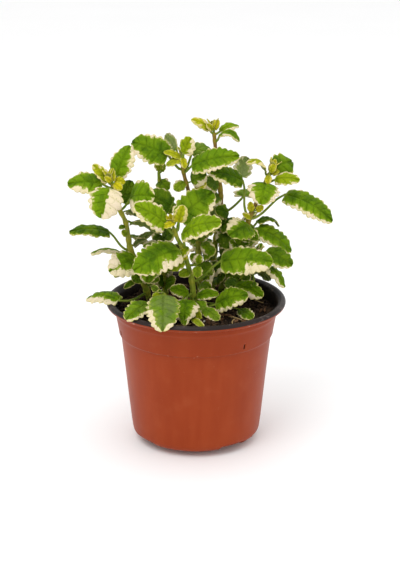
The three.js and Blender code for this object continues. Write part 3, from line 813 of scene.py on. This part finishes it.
green = tone.step(0.0, 0.5).colours(srgb("3a5a02"), srgb("668a04"))
green = tone.step(0.4, 1.0).colours(green, srgb("c6ba16"))
sector = noise(maker, place, 120, 4, 0.6).step(0.47, 0.55) * field.step(-0.15, -0.45)
green = (sector * (1 - tone) * 0.85).colours(green, srgb("2c4e04"))
green = (cloud.step(0.4, 0.7) * 0.4).colours(green, srgb("84a010"))
bloom = noise(maker, place, 160, 3).step(0.3, 0.6)
green = (grey * 0.8 * bloom).colours(green, srgb("6d7848"))
green = (veinlet * 0.12).colours(green, srgb("86981e"))
# Darker veins: the midrib's own darker green, and painted shade along the creases of the side
# veins.
green = (veins * 0.28).colours(green, srgb("3c5206"))
green = (cells.step(0.5, 0.75) * 0.25).colours(green, srgb("1f3a02"))

ragged = field + (flecks - 0.5) * 0.85 + (cloud - 0.5) * 0.3
pale = ragged.step(-0.2, -0.04)
cream_mask = ragged.step(-0.03, 0.035)
cream = cloud.step(0.3, 0.7).colours(srgb("dccfa4"), srgb("e0d0b4"))
cream = (tone.step(0.5, 1.0) * 0.85).colours(cream, srgb("c9b83a"))
cream = (veins * 0.3).colours(cream, srgb("bdbb72"))
cream = (noise(maker, place, 700, 2).step(0.62, 0.7) * 0.5).colours(cream, srgb("8c9c3a"))
blade = (pale * 0.6).colours(green, srgb("9aa534"))
blade = cream_mask.colours(blade, cream)
outline = (1 - edge.step(0.25, 0.7)) * flecks.step(0.35, 0.6)
blade = (outline * 0.85).colours(blade, srgb("d6cc70"))
blade = (under * 0.5).colours(blade, srgb("8a9460"))
stalk_green = cloud.step(0.3, 0.7).colours(srgb("66801c"), srgb("84923a"))
blade = stalk.colours(blade, stalk_green)

relief = (0.5 - veins * 0.5 - veinlet * 0.25) * (1 - under * 2) + cells * 0.3
rough = 0.42 + cells * 0.16 + cream_mask * 0.06 + under * 0.15
finish(maker, blade, rough, bump(maker, relief, 0.4 * MM, 0.9),
       Specular_IOR_Level=0.06)
print("leaf material has", len(leaf_material.node_tree.nodes), "nodes")

# %% [markdown]
# Fifty large leaves come from the CAD. Each one starts close to the middle of its stem, so that
# the two skins run into each other as they do on the living plant.

# %% The fifty large leaves
LEAF_CORNERS = 6
SHARES = np.array([0, 0.08, 0.24, 0.42, 0.62, 0.8, 0.93, 1])
BLADE_RINGS = len(SHARES) - 1
roots = {shoot: [] for shoot in SHOOTS}
for number, name in enumerate(sorted(LOOKS)):
    shoot = name.rsplit("_", 1)[0]
    points, triangles = corner_mesh("leaf_" + name)
    line = fine_line(shoot)
    gaps = np.linalg.norm(points[:, None] - line[None], axis=2).min(1)
    rings = rings_from(points, triangles, gaps, LEAF_CORNERS)
    blades = rings[-BLADE_RINGS:]
    centres = rings.mean(1)
    wide = blades[2] - blades[2].mean(0)
    side = np.linalg.svd(wide)[2][0]
    offsets = (blades - blades.mean(1, keepdims=True)) @ side
    rib_pair = np.argsort(np.abs(offsets), axis=1)[:, :2]
    midrib = np.take_along_axis(blades, rib_pair[..., None], 1).mean(1)
    width = 2 * np.abs(offsets).max()
    neck = centres[-BLADE_RINGS - 1]
    chord = unit(midrib[-1] - neck)
    up = np.cross(chord, side)
    outermost = np.argsort(-np.abs(offsets), axis=1)[:, :4]
    edges = np.take_along_axis(blades, outermost[..., None], 1).mean(1)
    if (midrib[2] - edges[2]) @ up < 0:
        side = -side
    root = line[np.linalg.norm(line - centres[0], axis=1).argmin()]
    roots[shoot].append(root)
    inward = root + unit(centres[0] - root) * 0.3 * MM
    stalk_path = np.vstack([inward, centres[:-BLADE_RINGS]])
    rings, grid = leaf_rings(stalk_path, SHARES, np.vstack([neck, midrib]), side, width, number)
    layers = leaf_layers(grid, *LOOKS[name], seed=number)
    leaf = make_object("foliage_" + name, [skin_piece(rings)], layers)
    leaf.data.materials.append(leaf_material)
    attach(leaf, "root")
    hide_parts("leaf_" + name)
print(len(LOOKS), "large leaves, each of", len(leaf.data.polygons), "faces")

# %% [markdown]
# Between the large leaves stand many small ones: pairs opening at the shoot tips, side shoots in
# the joints, and shaded leaves low down over the soil. Each line gives the shoot, then the neck
# and the tip (x, y and height above the soil, in millimetres), the width and the arch, the y and
# z of the way it faces, and how yellow it is. They go through the same leaf rule with fewer
# points.

# %% Small leaves
YOUNG = """
left -54 -3 88 -54 -3 97 4 1 -1 0.2 1
left -55 -4 88 -59 -6 92 4 1 -1 0.4 1
left -53 -5 87 -48 -9 84 6 1 -1 0.6 1
left -53 -1 88 -46 -1 87 6 1.5 -1 0.7 1
centre -10 10 101 -21 8 105 6.5 1.5 -0.7 1 0.75
centre -10 9 100 -19 3 97 7 1.5 -0.6 1 0.7
centre -9 9 101 -7 4 95 5 1 -1 0.5 0.8
mid_left -24 22 89 -26 21 97 6 1 -1 0.4 0.6
mid_left -23 23 88 -21 26 93 4 1 -1 0.4 0.5
back 12 39 113 15 39 120 5 1 -1 0.4 0.9
back 11 38 113 7 34 118 5 1 -1 0.6 0.8
right 49 10 91 52 9 97 5 1 -1 0.3 1
right 48 9 89 47 5 84 5 1 -1 0.6 1
right 50 12 89 55 14 92 5 1 -1 0.6 0.9
front -14 -19 65 -21 -24 63 5 1 -1 0.8 1
front -13 -19 65 -13 -19 71 4 1 -1 0.3 1
front 1 -6 33 2 -8 40 7 1.2 -1 0.4 0.55
front 1 -7 31 1 -12 25 7 1.2 -1 0.7 0.55
front -8 -8 35 -16 -12 30 7 1.2 -1 0.8 0.6
front -7 -8 36 -10 -8 43 5 1 -1 0.4 0.8
front -1 -6 6 6 -18 3 11 2 -1 0.9 0.4
front -8 -20 9 -7 -40 2 8 1.5 -1 1 0.5
front 0 -18 5 3 -27 -1 5 1 -1 1 0.7
front 5 -16 5 15 -30 2 9 1.5 -1 1.2 0.45
front -2 -30 3 5 -42 1 5 1 -1 1.2 0.7
front 29 -12 3 37 -30 3 9 1 -1 1 0.2
low_front -23 -26 18 -28 -30 18 5 1 -1 1 0.6
low_front -25 -20 19 -29 -20 22 5 1 -1 0.6 0.5
left -51 3 24 -54 -2 22 5 1 -1 1 0.3
left -41 10 16 -48 2 13 5 1 -1 1 0.3
left -47 3 56 -51 1 55 4 1 -1 1 0.3
left -45 5 49 -49 3 53 5 1 -1 0.4 0.6
right 37 14 63 36 13 70 5 1 -1 0.3 0.9
right 40 13 64 45 12 67 5 1 -1 0.5 0.9
right 37 15 58 31 13 62 4 1 -1 0.5 0.8
right 33 18 50 30 14 39 15 2 -1 0.8 0
low_right 41 7 38 44 7 43 4 1 -1 0.4 0.2
low_right 39 0 18 39 -4 15 5 1 -1 0.9 0.3
low_right 23 26 3 22 26 12 4 1 -1 0.3 0.7
back 16 26 39 27 22 37 12 2 -1 1 0.05
back 11 22 28 5 16 38 10 2 -1 0.8 0.3
back 11 18 19 19 12 26 10 2 -1 1 0.1
centre 3 12 28 9 6 21 11 2 -1 1 0.1
centre 0 14 43 -8 10 50 12 2 -1 1 0.1
centre 6 14 49 14 8 55 12 2 -1 1 0.1
back 18 30 51 27 26 47 14 2 -1 1 0.05
right 26 22 25 18 14 32 14 2 -1 1 0.1
low_right 30 14 13 20 6 13 12 2 -1 1.2 0.1
mid_left -22 20 26 -15 12 23 12 2 -1 1 0.1
mid_left -22 20 41 -15 14 49 13 2 -1 1 0.05
left -34 10 18 -25 2 18 10 2 -1 1 0.1
right 38 18 52 30 14 43 16 2 -1 0.6 0.05
back 24 28 44 14 24 39 13 2 -1 1 0
back 22 30 57 13 26 61 11 2 -1 0.8 0.1
back 14 32 56 19 28 51 11 2 -1 0.6 0.15
centre 5 14 41 12 8 34 9 1.5 -1 0.6 0.3
centre 2 14 43 6 10 54 10 1.5 -1 0.5 0.15
centre 5 14 32 13 8 38 11 1.5 -1 1 0.35
back 16 30 30 23 24 36 12 1.5 -1 0.8 0.1
back 14 28 23 22 20 28 12 2 -1 1 0.2
centre 5 14 16 12 8 24 12 2 -1 0.8 0.3
centre 3 10 13 10 4 13 11 2 -1 1 0.45
back 12 26 11 20 20 16 12 2 -1 1 0.15
back 12 26 17 17 22 24 12 2 -1 0.8 0.05
right 22 27 18 29 18 14 13 2 -1 1 0.1
right 25 24 25 20 18 33 12 2 -1 0.8 0.1
right 30 20 36 23 16 42 12 2 -1 0.6 0.05
mid_left -21 25 17 -14 18 25 12 2 -1 0.9 0.3
mid_left -22 25 10 -29 18 16 13 2 -1 1 0.1
mid_left -21 22 8 -14 14 15 12 2 -1 1 0.2
left -34 14 13 -27 8 23 12 2 -1 1 0.25
left -36 12 19 -42 4 17 11 2 -1 1 0.3
centre 0 15 62 5 8 58 11 2 -1 0.8 0.25
centre -3 14 67 -7 6 65 8 1.5 -1 0.8 0.5
centre -3 12 84 7 8 90 13 2 -1 0.5 0.2
centre -1 12 78 7 6 84 8 1.5 -1 0.8 0.8
back 15 34 75 6 28 81 14 2 -1 0.6 0.1
back 16 34 68 9 28 67 12 2 -1 0.6 0.15
back 16 36 85 7 34 90 12 2 -1 0.4 0.1
centre -8 12 84 -14 8 79 8 1 -1 0.8 0.55
mid_left -25 24 81 -18 18 77 10 2 -1 0.8 0.2
mid_left -24 26 52 -18 20 48 11 2 -1 0.8 0.1
mid_left -23 26 42 -29 20 41 11 2 -1 0.9 0.1
back 16 33 50 8 26 47 12 2 -1 0.8 0.1
right 34 17 49 41 10 44 9 2 -1 0.8 0.2
low_right 29 22 9 37 14 17 11 2 -1 1 0.2
low_right 25 24 4 19 16 12 10 2 -1 1 0.25
front -4 -3 27 -11 -8 25 7 1.5 -1 0.9 0.55
front -5 -9 45 -10 -12 39 6 1.2 -1 0.9 0.6
centre 2 16 27 -4 10 33 9 1.5 -1 0.8 0.2
mid_left -24 25 71 -17 18 68 10 2 -1 0.7 0.15
""".split("\n")[1:-1]


def place_mm(spot):
    """Millimetres with height above the soil, as metres in the frame."""
    return np.array(spot) * MM + np.array([0, 0, SOIL])


def young_leaf(shoot, neck, tip, width, arch, face, seed, rows=34):
    """Midrib and stalk of a small leaf: the midrib rises 4 a s (1 - s) towards its face."""
    chord = tip - neck
    ahead = unit(chord)
    side = unit(np.cross(face, ahead))
    up = np.cross(ahead, side)
    shares = np.linspace(0, 1, 8)[:, None]
    midrib = neck + chord * shares + up * 4 * arch * shares * (1 - shares)
    line = fine_line(shoot)
    gap = np.linalg.norm(line - (neck - ahead * 2 * MM), axis=1)
    root = line[(gap + 0.2 * np.abs(line[:, 2] - neck[2])).argmin()]
    middle = (root + neck) / 2 - ahead * 0.15 * np.linalg.norm(neck - root)
    stalk = np.array([root, middle, neck])
    return leaf_rings(stalk, shares[:, 0], midrib, side, width, seed, rows, 15, 0.5 * MM), root


YOUNG_SEED, BUD_SEED, FAR_SEED = 200, 300, 400
pieces = {shoot: [] for shoot in SHOOTS}
rng = np.random.default_rng(12)
for number, row in enumerate(YOUNG):
    shoot, *numbers = row.split()
    *spots, width, arch, front, up, tone = map(float, numbers)
    neck, tip = place_mm(spots[:3]), place_mm(spots[3:])
    face, seed = (0, front, up), YOUNG_SEED + number
    (rings, grid), root = young_leaf(shoot, neck, tip, width * MM, arch * MM, face, seed)
    if width > 9:
        roots[shoot].append(root)
    margin = 0.05 + 0.15 * rng.random()
    patch = ((int(rng.choice([-1, 1])), 0, 1, 0.6 * rng.random() ** 2),)
    layers = leaf_layers(grid, tone, 0.25 * rng.random(), margin, patch, seed)
    pieces[shoot].append((skin_piece(rings), layers))

# %% [markdown]
# Two crossed pairs of unopened leaves close each shoot tip. The table gives their length and
# width in millimetres and how yellow they are.

# %% Tip buds
TIP_BUDS = {
    "back": (8, 4.2, 0.9), "centre": (6.5, 3.2, 0.65), "front": (8.5, 4.4, 0.9),
    "left": (8, 4, 0.9), "low_front": (3, 2.2, 0.3), "low_right": (5.5, 3, 0.5),
    "mid_left": (4, 2.6, 0.5), "right": (9, 4.4, 0.95)}
for number, shoot in enumerate(SHOOTS):
    line = stem_line[shoot]
    long, wide, tone = TIP_BUDS[shoot]
    ahead = unit(line[-1] - line[-2])
    first = unit(np.cross(ahead, [0.3, 1, 0.1]))
    for pair in range(4):
        out = (first, np.cross(ahead, first), -first, -np.cross(ahead, first))[pair]
        reach = long * MM * (0.85 if pair % 2 else 1)
        neck = line[-1] + out * 0.6 * MM + ahead * 0.4 * MM
        tip = neck + ahead * reach + out * reach * (0.15 + 0.3 * rng.random())
        seed = BUD_SEED + number * 10 + pair
        (rings, grid), _ = young_leaf(shoot, neck, tip, wide * MM, 0.8 * MM, -out, seed)
        layers = leaf_layers(grid, tone, 0, 0.2, (), seed)
        pieces[shoot].append((skin_piece(rings), layers))

# %% [markdown]
# Leaves on the far side follow a rule. The table gives the shoot, the share of its height, the
# bearing from +X in degrees and the length of the blade in millimetres. After them, all the
# small leaves and buds of each shoot are joined into one mesh.

# %% Far leaves, and one object for each shoot
FAR = [
    ("left", 0.3, 95, 20), ("left", 0.5, 70, 18), ("left", 0.72, 60, 15),
    ("mid_left", 0.2, 120, 20), ("mid_left", 0.35, 60, 20), ("mid_left", 0.5, 100, 19),
    ("mid_left", 0.62, 75, 15), ("centre", 0.3, 80, 20), ("centre", 0.5, 110, 19),
    ("centre", 0.68, 70, 16), ("back", 0.12, 70, 20), ("back", 0.25, 120, 22),
    ("back", 0.38, 60, 21), ("back", 0.5, 100, 20), ("back", 0.62, 110, 18),
    ("back", 0.75, 120, 15), ("right", 0.15, 100, 20), ("right", 0.3, 50, 21),
    ("right", 0.45, 95, 19), ("right", 0.6, 80, 17), ("right", 0.8, 70, 14),
    ("low_right", 0.3, 60, 18), ("low_right", 0.55, 30, 17), ("low_right", 0.75, 80, 14),
]
for number, (shoot, share, bearing, length) in enumerate(FAR):
    line = fine_line(shoot)
    root = line[int(share * (len(line) - 1))]
    out = np.array([np.cos(np.radians(bearing)), np.sin(np.radians(bearing)), 0])
    neck = root + out * 7 * MM + np.array([0, 0, 2.5 * MM])
    pitch = np.radians(rng.uniform(-45, 20))
    tip = neck + (out * np.cos(pitch) + np.array([0, 0, np.sin(pitch)])) * length * MM
    face = (0.8 * rng.uniform(-1, 1), 0.5 * rng.random(), 1)
    seed = FAR_SEED + number
    width = 0.68 * length * MM
    (rings, grid), root = young_leaf(shoot, neck, tip, width, 3 * MM, face, seed, 50)
    roots[shoot].append(root)
    side = int(rng.choice([-1, 1]))
    patch = ((side, 0.2 * rng.random(), 0.6 + 0.4 * rng.random(), 0.2 + 0.5 * rng.random()),)
    tone, margin = 0.1 + 0.35 * rng.random(), 0.06 + 0.1 * rng.random()
    layers = leaf_layers(grid, tone, 0.1, margin, patch, seed)
    pieces[shoot].append((skin_piece(rings), layers))

for shoot, made in pieces.items():
    layers = {key: np.vstack([item[1][key] for item in made])
              for key in ("blade", "tint", "shade")}
    young = make_object("young_" + shoot, [item[0] for item in made], layers)
    young.data.materials.append(leaf_material)
    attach(young, "root")
print(sum(len(made) for made in pieces.values()), "small leaves")

# %% [markdown]
# The stems are soft and slightly four-angled, as in all plants of the mint family, and thicken
# at each joint where a pair of leaves sits. Low down they are olive green; higher up the skin
# turns brown-purple, by the share that BROWN gives for each shoot. Each stem is carried 4 mm
# down into the soil.

# %% Stems
BROWN = {"centre": 0.8, "back": 0.9, "right": 0.85, "left": 0.35, "front": 0.1}


def stem_rings(shoot, sides=20):
    """Rings along a shoot: r = CAD radius (1 + 0.05 cos 4a) + joints, and a closed tip."""
    line = stem_line[shoot]
    line = np.vstack([line[0] - [0, 0, 4 * MM], line])
    radius = np.append(stem_radius[shoot][0] * 1.1, stem_radius[shoot])
    along = np.append(0, np.cumsum(np.linalg.norm(np.diff(line, axis=0), axis=1)))
    where = np.linspace(0, along[-1], int(along[-1] / (0.8 * MM)))
    path = glide(along, line, where)
    width = glide(along, radius, where)[:, 0]
    joint = np.zeros(len(path))
    for root in roots[shoot]:
        gap = np.linalg.norm(path - root, axis=1)
        joint = np.maximum(joint, np.exp(-(gap / (2.0 * MM)) ** 2))
    width = width * (1 + 0.28 * joint) + 0.08 * MM * ripple(where / (6 * MM), where * 0, 5)
    width = width * (0.35 + 0.65 * smoothstep(0, 2.5 * MM, along[-1] - where))
    tangent = unit(np.gradient(path, axis=0))
    side = unit(np.cross(tangent, np.array([[0.2, 1, 0.1]])))
    up = np.cross(tangent, side)
    angle = np.linspace(0, 2 * np.pi, sides, endpoint=False)[None, :]
    reach = width[:, None] * (1 + 0.05 * np.cos(4 * angle))
    rings = (path[:, None] + side[:, None] * (reach * np.cos(angle))[..., None]
             + up[:, None] * (reach * np.sin(angle))[..., None])
    share = (where / along[-1])[:, None] + 0 * angle
    brown = np.full_like(share, BROWN.get(shoot, 0))
    values = np.stack([share, joint[:, None] + 0 * angle, brown], -1)
    return rings, np.vstack([values.reshape(-1, 3), values[0, :1], values[-1, :1]])


stem_material, maker = new_material("soft_stem")
place = object_place(maker)
share, joint, brown = attribute(maker, "grow")
long_way = maker.node("ShaderNodeMapping", {}, {"Vector": place, "Scale": (1, 1, 0.2)})
strands = noise(maker, long_way, 900, 3)
blots = noise(maker, place, 240, 4, 0.6)
green = strands.step(0.35, 0.65).colours(srgb("7c9224"), srgb("a5ac42"))
green = (blots.step(0.45, 0.6) * 0.5).colours(green, srgb("5d7a1c"))
bark = strands.step(0.3, 0.7).colours(srgb("5a3a1e"), srgb("83572f"))
turned = (share + (blots - 0.5) * 0.3).step(0.25, 0.6) * brown
skin = turned.colours(green, bark)
skin = (joint * 0.5).colours(skin, srgb("a39a2c"))
finish(maker, skin, 0.42 + strands * 0.2, bump(maker, strands + blots * 0.5, 0.15 * MM, 0.7),
       Specular_IOR_Level=0.15)
for shoot in SHOOTS:
    rings, values = stem_rings(shoot)
    stem = make_object("shoot_" + shoot, [skin_piece(rings)], {"grow": values})
    stem.data.materials.append(stem_material)
    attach(stem, "root")
    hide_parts("stem_" + shoot)
print(len(SHOOTS), "stems")

# %% [markdown]
# The potting mix fills the pot to 7.5 mm below the rim. Its body is one ring surface: a flat
# underside, sides just clear of the wall, and an upper face whose height is a sum of ripples
# from 15 mm lumps down to 1 mm grains. It sinks a little at the wall, as watered mix does.

# %% Potting mix body
def mix_height(x, y):
    """Height of the soil: soil level plus ripples, each with its own wavelength."""
    coarse = 1.1 * MM * ripple(x / (5 * MM), y / (5 * MM), 21, 2)
    fine = 0.8 * MM * ripple(x / (1.5 * MM), y / (1.5 * MM), 22, 3)
    lumps = 0.9 * MM * np.abs(ripple(x / (2.4 * MM), y / (2.4 * MM), 23, 3))
    reach = np.hypot(x, y)
    sink = -1.2 * MM * smoothstep(44 * MM, 52 * MM, reach)
    return SOIL - 0.6 * MM + coarse + fine + lumps + sink


turns = 360
inner_top = COLLAR - 1.9 * MM
below = np.array([
    (0.5, 8), (12, 8), (24, 8), (34, 8), (41.2, 8.4), (41.6, 10), (43.6, 30), (45.6, 52),
    (47.4, 72), (49, 76.4)]) * MM
below = np.vstack([below, [(inner_top - 0.3 * MM, SOIL - 4 * MM)]])
surface = np.linspace(inner_top - 0.5 * MM, 0.5 * MM, 74)
reach = np.concatenate([below[:, 0], [inner_top], surface])
angle = np.linspace(0, 2 * np.pi, turns, endpoint=False)[None, :]
x, y = reach[:, None] * np.cos(angle), reach[:, None] * np.sin(angle)
level = mix_height(x, y)
level[:len(below)] = below[:, 1:2]
level[len(below)] -= 0.8 * MM
body = make_object("mix_body", [skin_piece(np.stack([x, y, level], -1))])
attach(body, "root")
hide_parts("mix")
print("mix body", len(body.data.polygons), "faces")

# %% [markdown]
# Loose matter lies on top: peat crumbs, bark chips, short fibres of straw and a few pale grains
# of perlite. One lump, a grid of rings on a ball, is copied to many places at once: its corners
# are pushed in and out at random, then stretched, turned and moved as whole arrays.

# %% Crumbs, chips, fibres and grains
def lumps(places, sizes, seed, rows=4, columns=7, rough=0.3):
    """Many lumps: p = place + turn (ball point * (1 + rough noise) * size).

    Half of them lie nearly level and half lie any way round."""
    rng = np.random.default_rng(seed)
    count = len(places)
    fall = np.linspace(0, np.pi, rows + 2)[1:-1][:, None]
    turn = np.linspace(0, 2 * np.pi, columns, endpoint=False)[None, :]
    ball = np.stack([np.sin(fall) * np.cos(turn), np.sin(fall) * np.sin(turn),
                     -np.cos(fall) + 0 * turn], -1).reshape(-1, 3)
    ball = np.vstack([ball, [[0, 0, -1], [0, 0, 1]]])
    shape = ball[None] * (1 + rng.uniform(-rough, rough, (count, len(ball), 1))) * sizes[:, None]
    frames = np.linalg.qr(rng.normal(size=(count, 3, 3)))[0]
    frames *= np.sign(np.linalg.det(frames))[:, None, None]
    tilt = np.where(rng.random(count) < 0.5, 0.35, 1.0)[:, None, None]
    frames = np.linalg.qr(np.eye(3) * (1 - tilt) + frames * tilt)[0]
    frames *= np.sign(np.linalg.det(frames))[:, None, None]
    points = np.einsum("nij,nkj->nki", frames, shape) + places[:, None]
    quads, fans = skin_faces(rows, columns)
    shift = (np.arange(count) * len(ball))[:, None, None]
    value = np.repeat(rng.random((count, 3)), len(ball), 0)
    return (points.reshape(-1, 3), (quads[None] + shift).reshape(-1, 4),
            (fans[None] + shift).reshape(-1, 3)), value


def on_soil(count, seed, lift, outer=51.5 * MM):
    """Random places on the soil, evenly spread over its area."""
    rng = np.random.default_rng(seed)
    reach = outer * np.sqrt(rng.random(count))
    angle = rng.uniform(0, 2 * np.pi, count)
    x, y = reach * np.cos(angle), reach * np.sin(angle)
    return np.stack([x, y, mix_height(x, y) + lift * MM], -1)


CRUMBS, CHIPS, GRAINS, STRAWS = 1500, 90, 16, 34
rng = np.random.default_rng(31)
crumb_sizes = rng.uniform(0.5, 1.7, (CRUMBS, 1)) * rng.uniform(0.6, 1.2, (CRUMBS, 3)) * MM
crumb_piece, crumb_values = lumps(on_soil(CRUMBS, 32, 0.3, 51 * MM), crumb_sizes, 33)
chip_sizes = rng.uniform(0.7, 1.3, (CHIPS, 1)) * np.array([[3.0, 1.5, 0.6]]) * MM
chip_piece, chip_values = lumps(on_soil(CHIPS, 35, 0.9, 49 * MM), chip_sizes, 36, rough=0.2)
grain_sizes = rng.uniform(0.5, 1.0, (GRAINS, 1)) * rng.uniform(0.8, 1.2, (GRAINS, 3)) * MM
grain_piece, grain_values = lumps(on_soil(GRAINS, 38, 0.8, 49 * MM), grain_sizes, 39)


def fibre(start, heading, length, lift, radius):
    """A thin bowed straw: its middle stands higher than its ends."""
    t = np.linspace(0, 1, 9)[:, None]
    ahead = np.array([np.cos(heading), np.sin(heading), 0])
    across = np.array([-np.sin(heading), np.cos(heading), 0])
    path = start + ahead * length * (t - 0.5) + across * length * 0.12 * np.sin(np.pi * t)
    path[:, 2:] += 4 * lift * t * (1 - t)
    turn = np.linspace(0, 2 * np.pi, 6, endpoint=False)[None, :, None]
    up = np.array([0, 0, 1.0])
    return path[:, None] + radius * (np.cos(turn) * np.cross(up, ahead) + np.sin(turn) * up)


straws = [fibre(spot, rng.uniform(0, np.pi), rng.uniform(5, 14) * MM, rng.uniform(0, 1.5) * MM,
                rng.uniform(0.15, 0.4) * MM) for spot in on_soil(STRAWS, 41, 0.7, 46 * MM)]
straw_points = straws[0].size // 3 + 2
straw_values = np.repeat(rng.random((STRAWS, 3)), straw_points, 0)
loose = {
    "crumbs": ([crumb_piece], crumb_values),
    "bark_chips": ([chip_piece], chip_values),
    "perlite": ([grain_piece], grain_values),
    "straws": ([skin_piece(rings) for rings in straws], straw_values),
}
print({name: len(values) for name, (_, values) in loose.items()})

# %% [markdown]
# Damp peat is nearly black and hardly shines. Colour noise at three sizes breaks it into darker
# hollows and browner crumbs, and a point attribute gives each loose piece a shade of its own.

# %% Mix materials
peat_material, maker = new_material("damp_peat")
place = object_place(maker)
big = noise(maker, place, 130, 4, 0.6)
small = noise(maker, place, 900, 4, 0.7)
peat = big.step(0.35, 0.65).colours(srgb("17110d"), srgb("30241a"))
peat = (small.step(0.5, 0.72) * 0.6).colours(peat, srgb("4d3b29"))
peat = (noise(maker, place, 1700, 2).step(0.66, 0.74) * 0.5).colours(peat, srgb("75604a"))
finish(maker, peat, 0.8 + small * 0.18, bump(maker, small + big, 0.5 * MM, 1.0),
       Specular_IOR_Level=0.1)
body.data.materials.append(peat_material)

PAINT = {"crumbs": ("120d0a", "3c2c1f", "54412e"), "bark_chips": ("3a2618", "6b4c33", "8a6a49"),
         "perlite": ("9c978c", "c9c4b8", "dcd8ce"), "straws": ("6b5636", "a68d5c", "c4ad78")}
for name, (made, values) in loose.items():
    material, maker = new_material(name)
    place = object_place(maker)
    pick, second, _ = attribute(maker, "pick")
    small = noise(maker, place, 1100, 4, 0.6)
    dark, middle, light = (srgb(code) for code in PAINT[name])
    colour = pick.colours(dark, middle)
    colour = (small.step(0.5, 0.75) * 0.6 + second * 0.15).colours(colour, light)
    finish(maker, colour, 0.7 + small * 0.25, bump(maker, small, 0.2 * MM, 0.9),
           Specular_IOR_Level=0.1)
    item = make_object(name, made, {"pick": values}, smooth=name != "bark_chips")
    item.data.materials.append(material)
    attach(item, "root")
print("mix materials done")
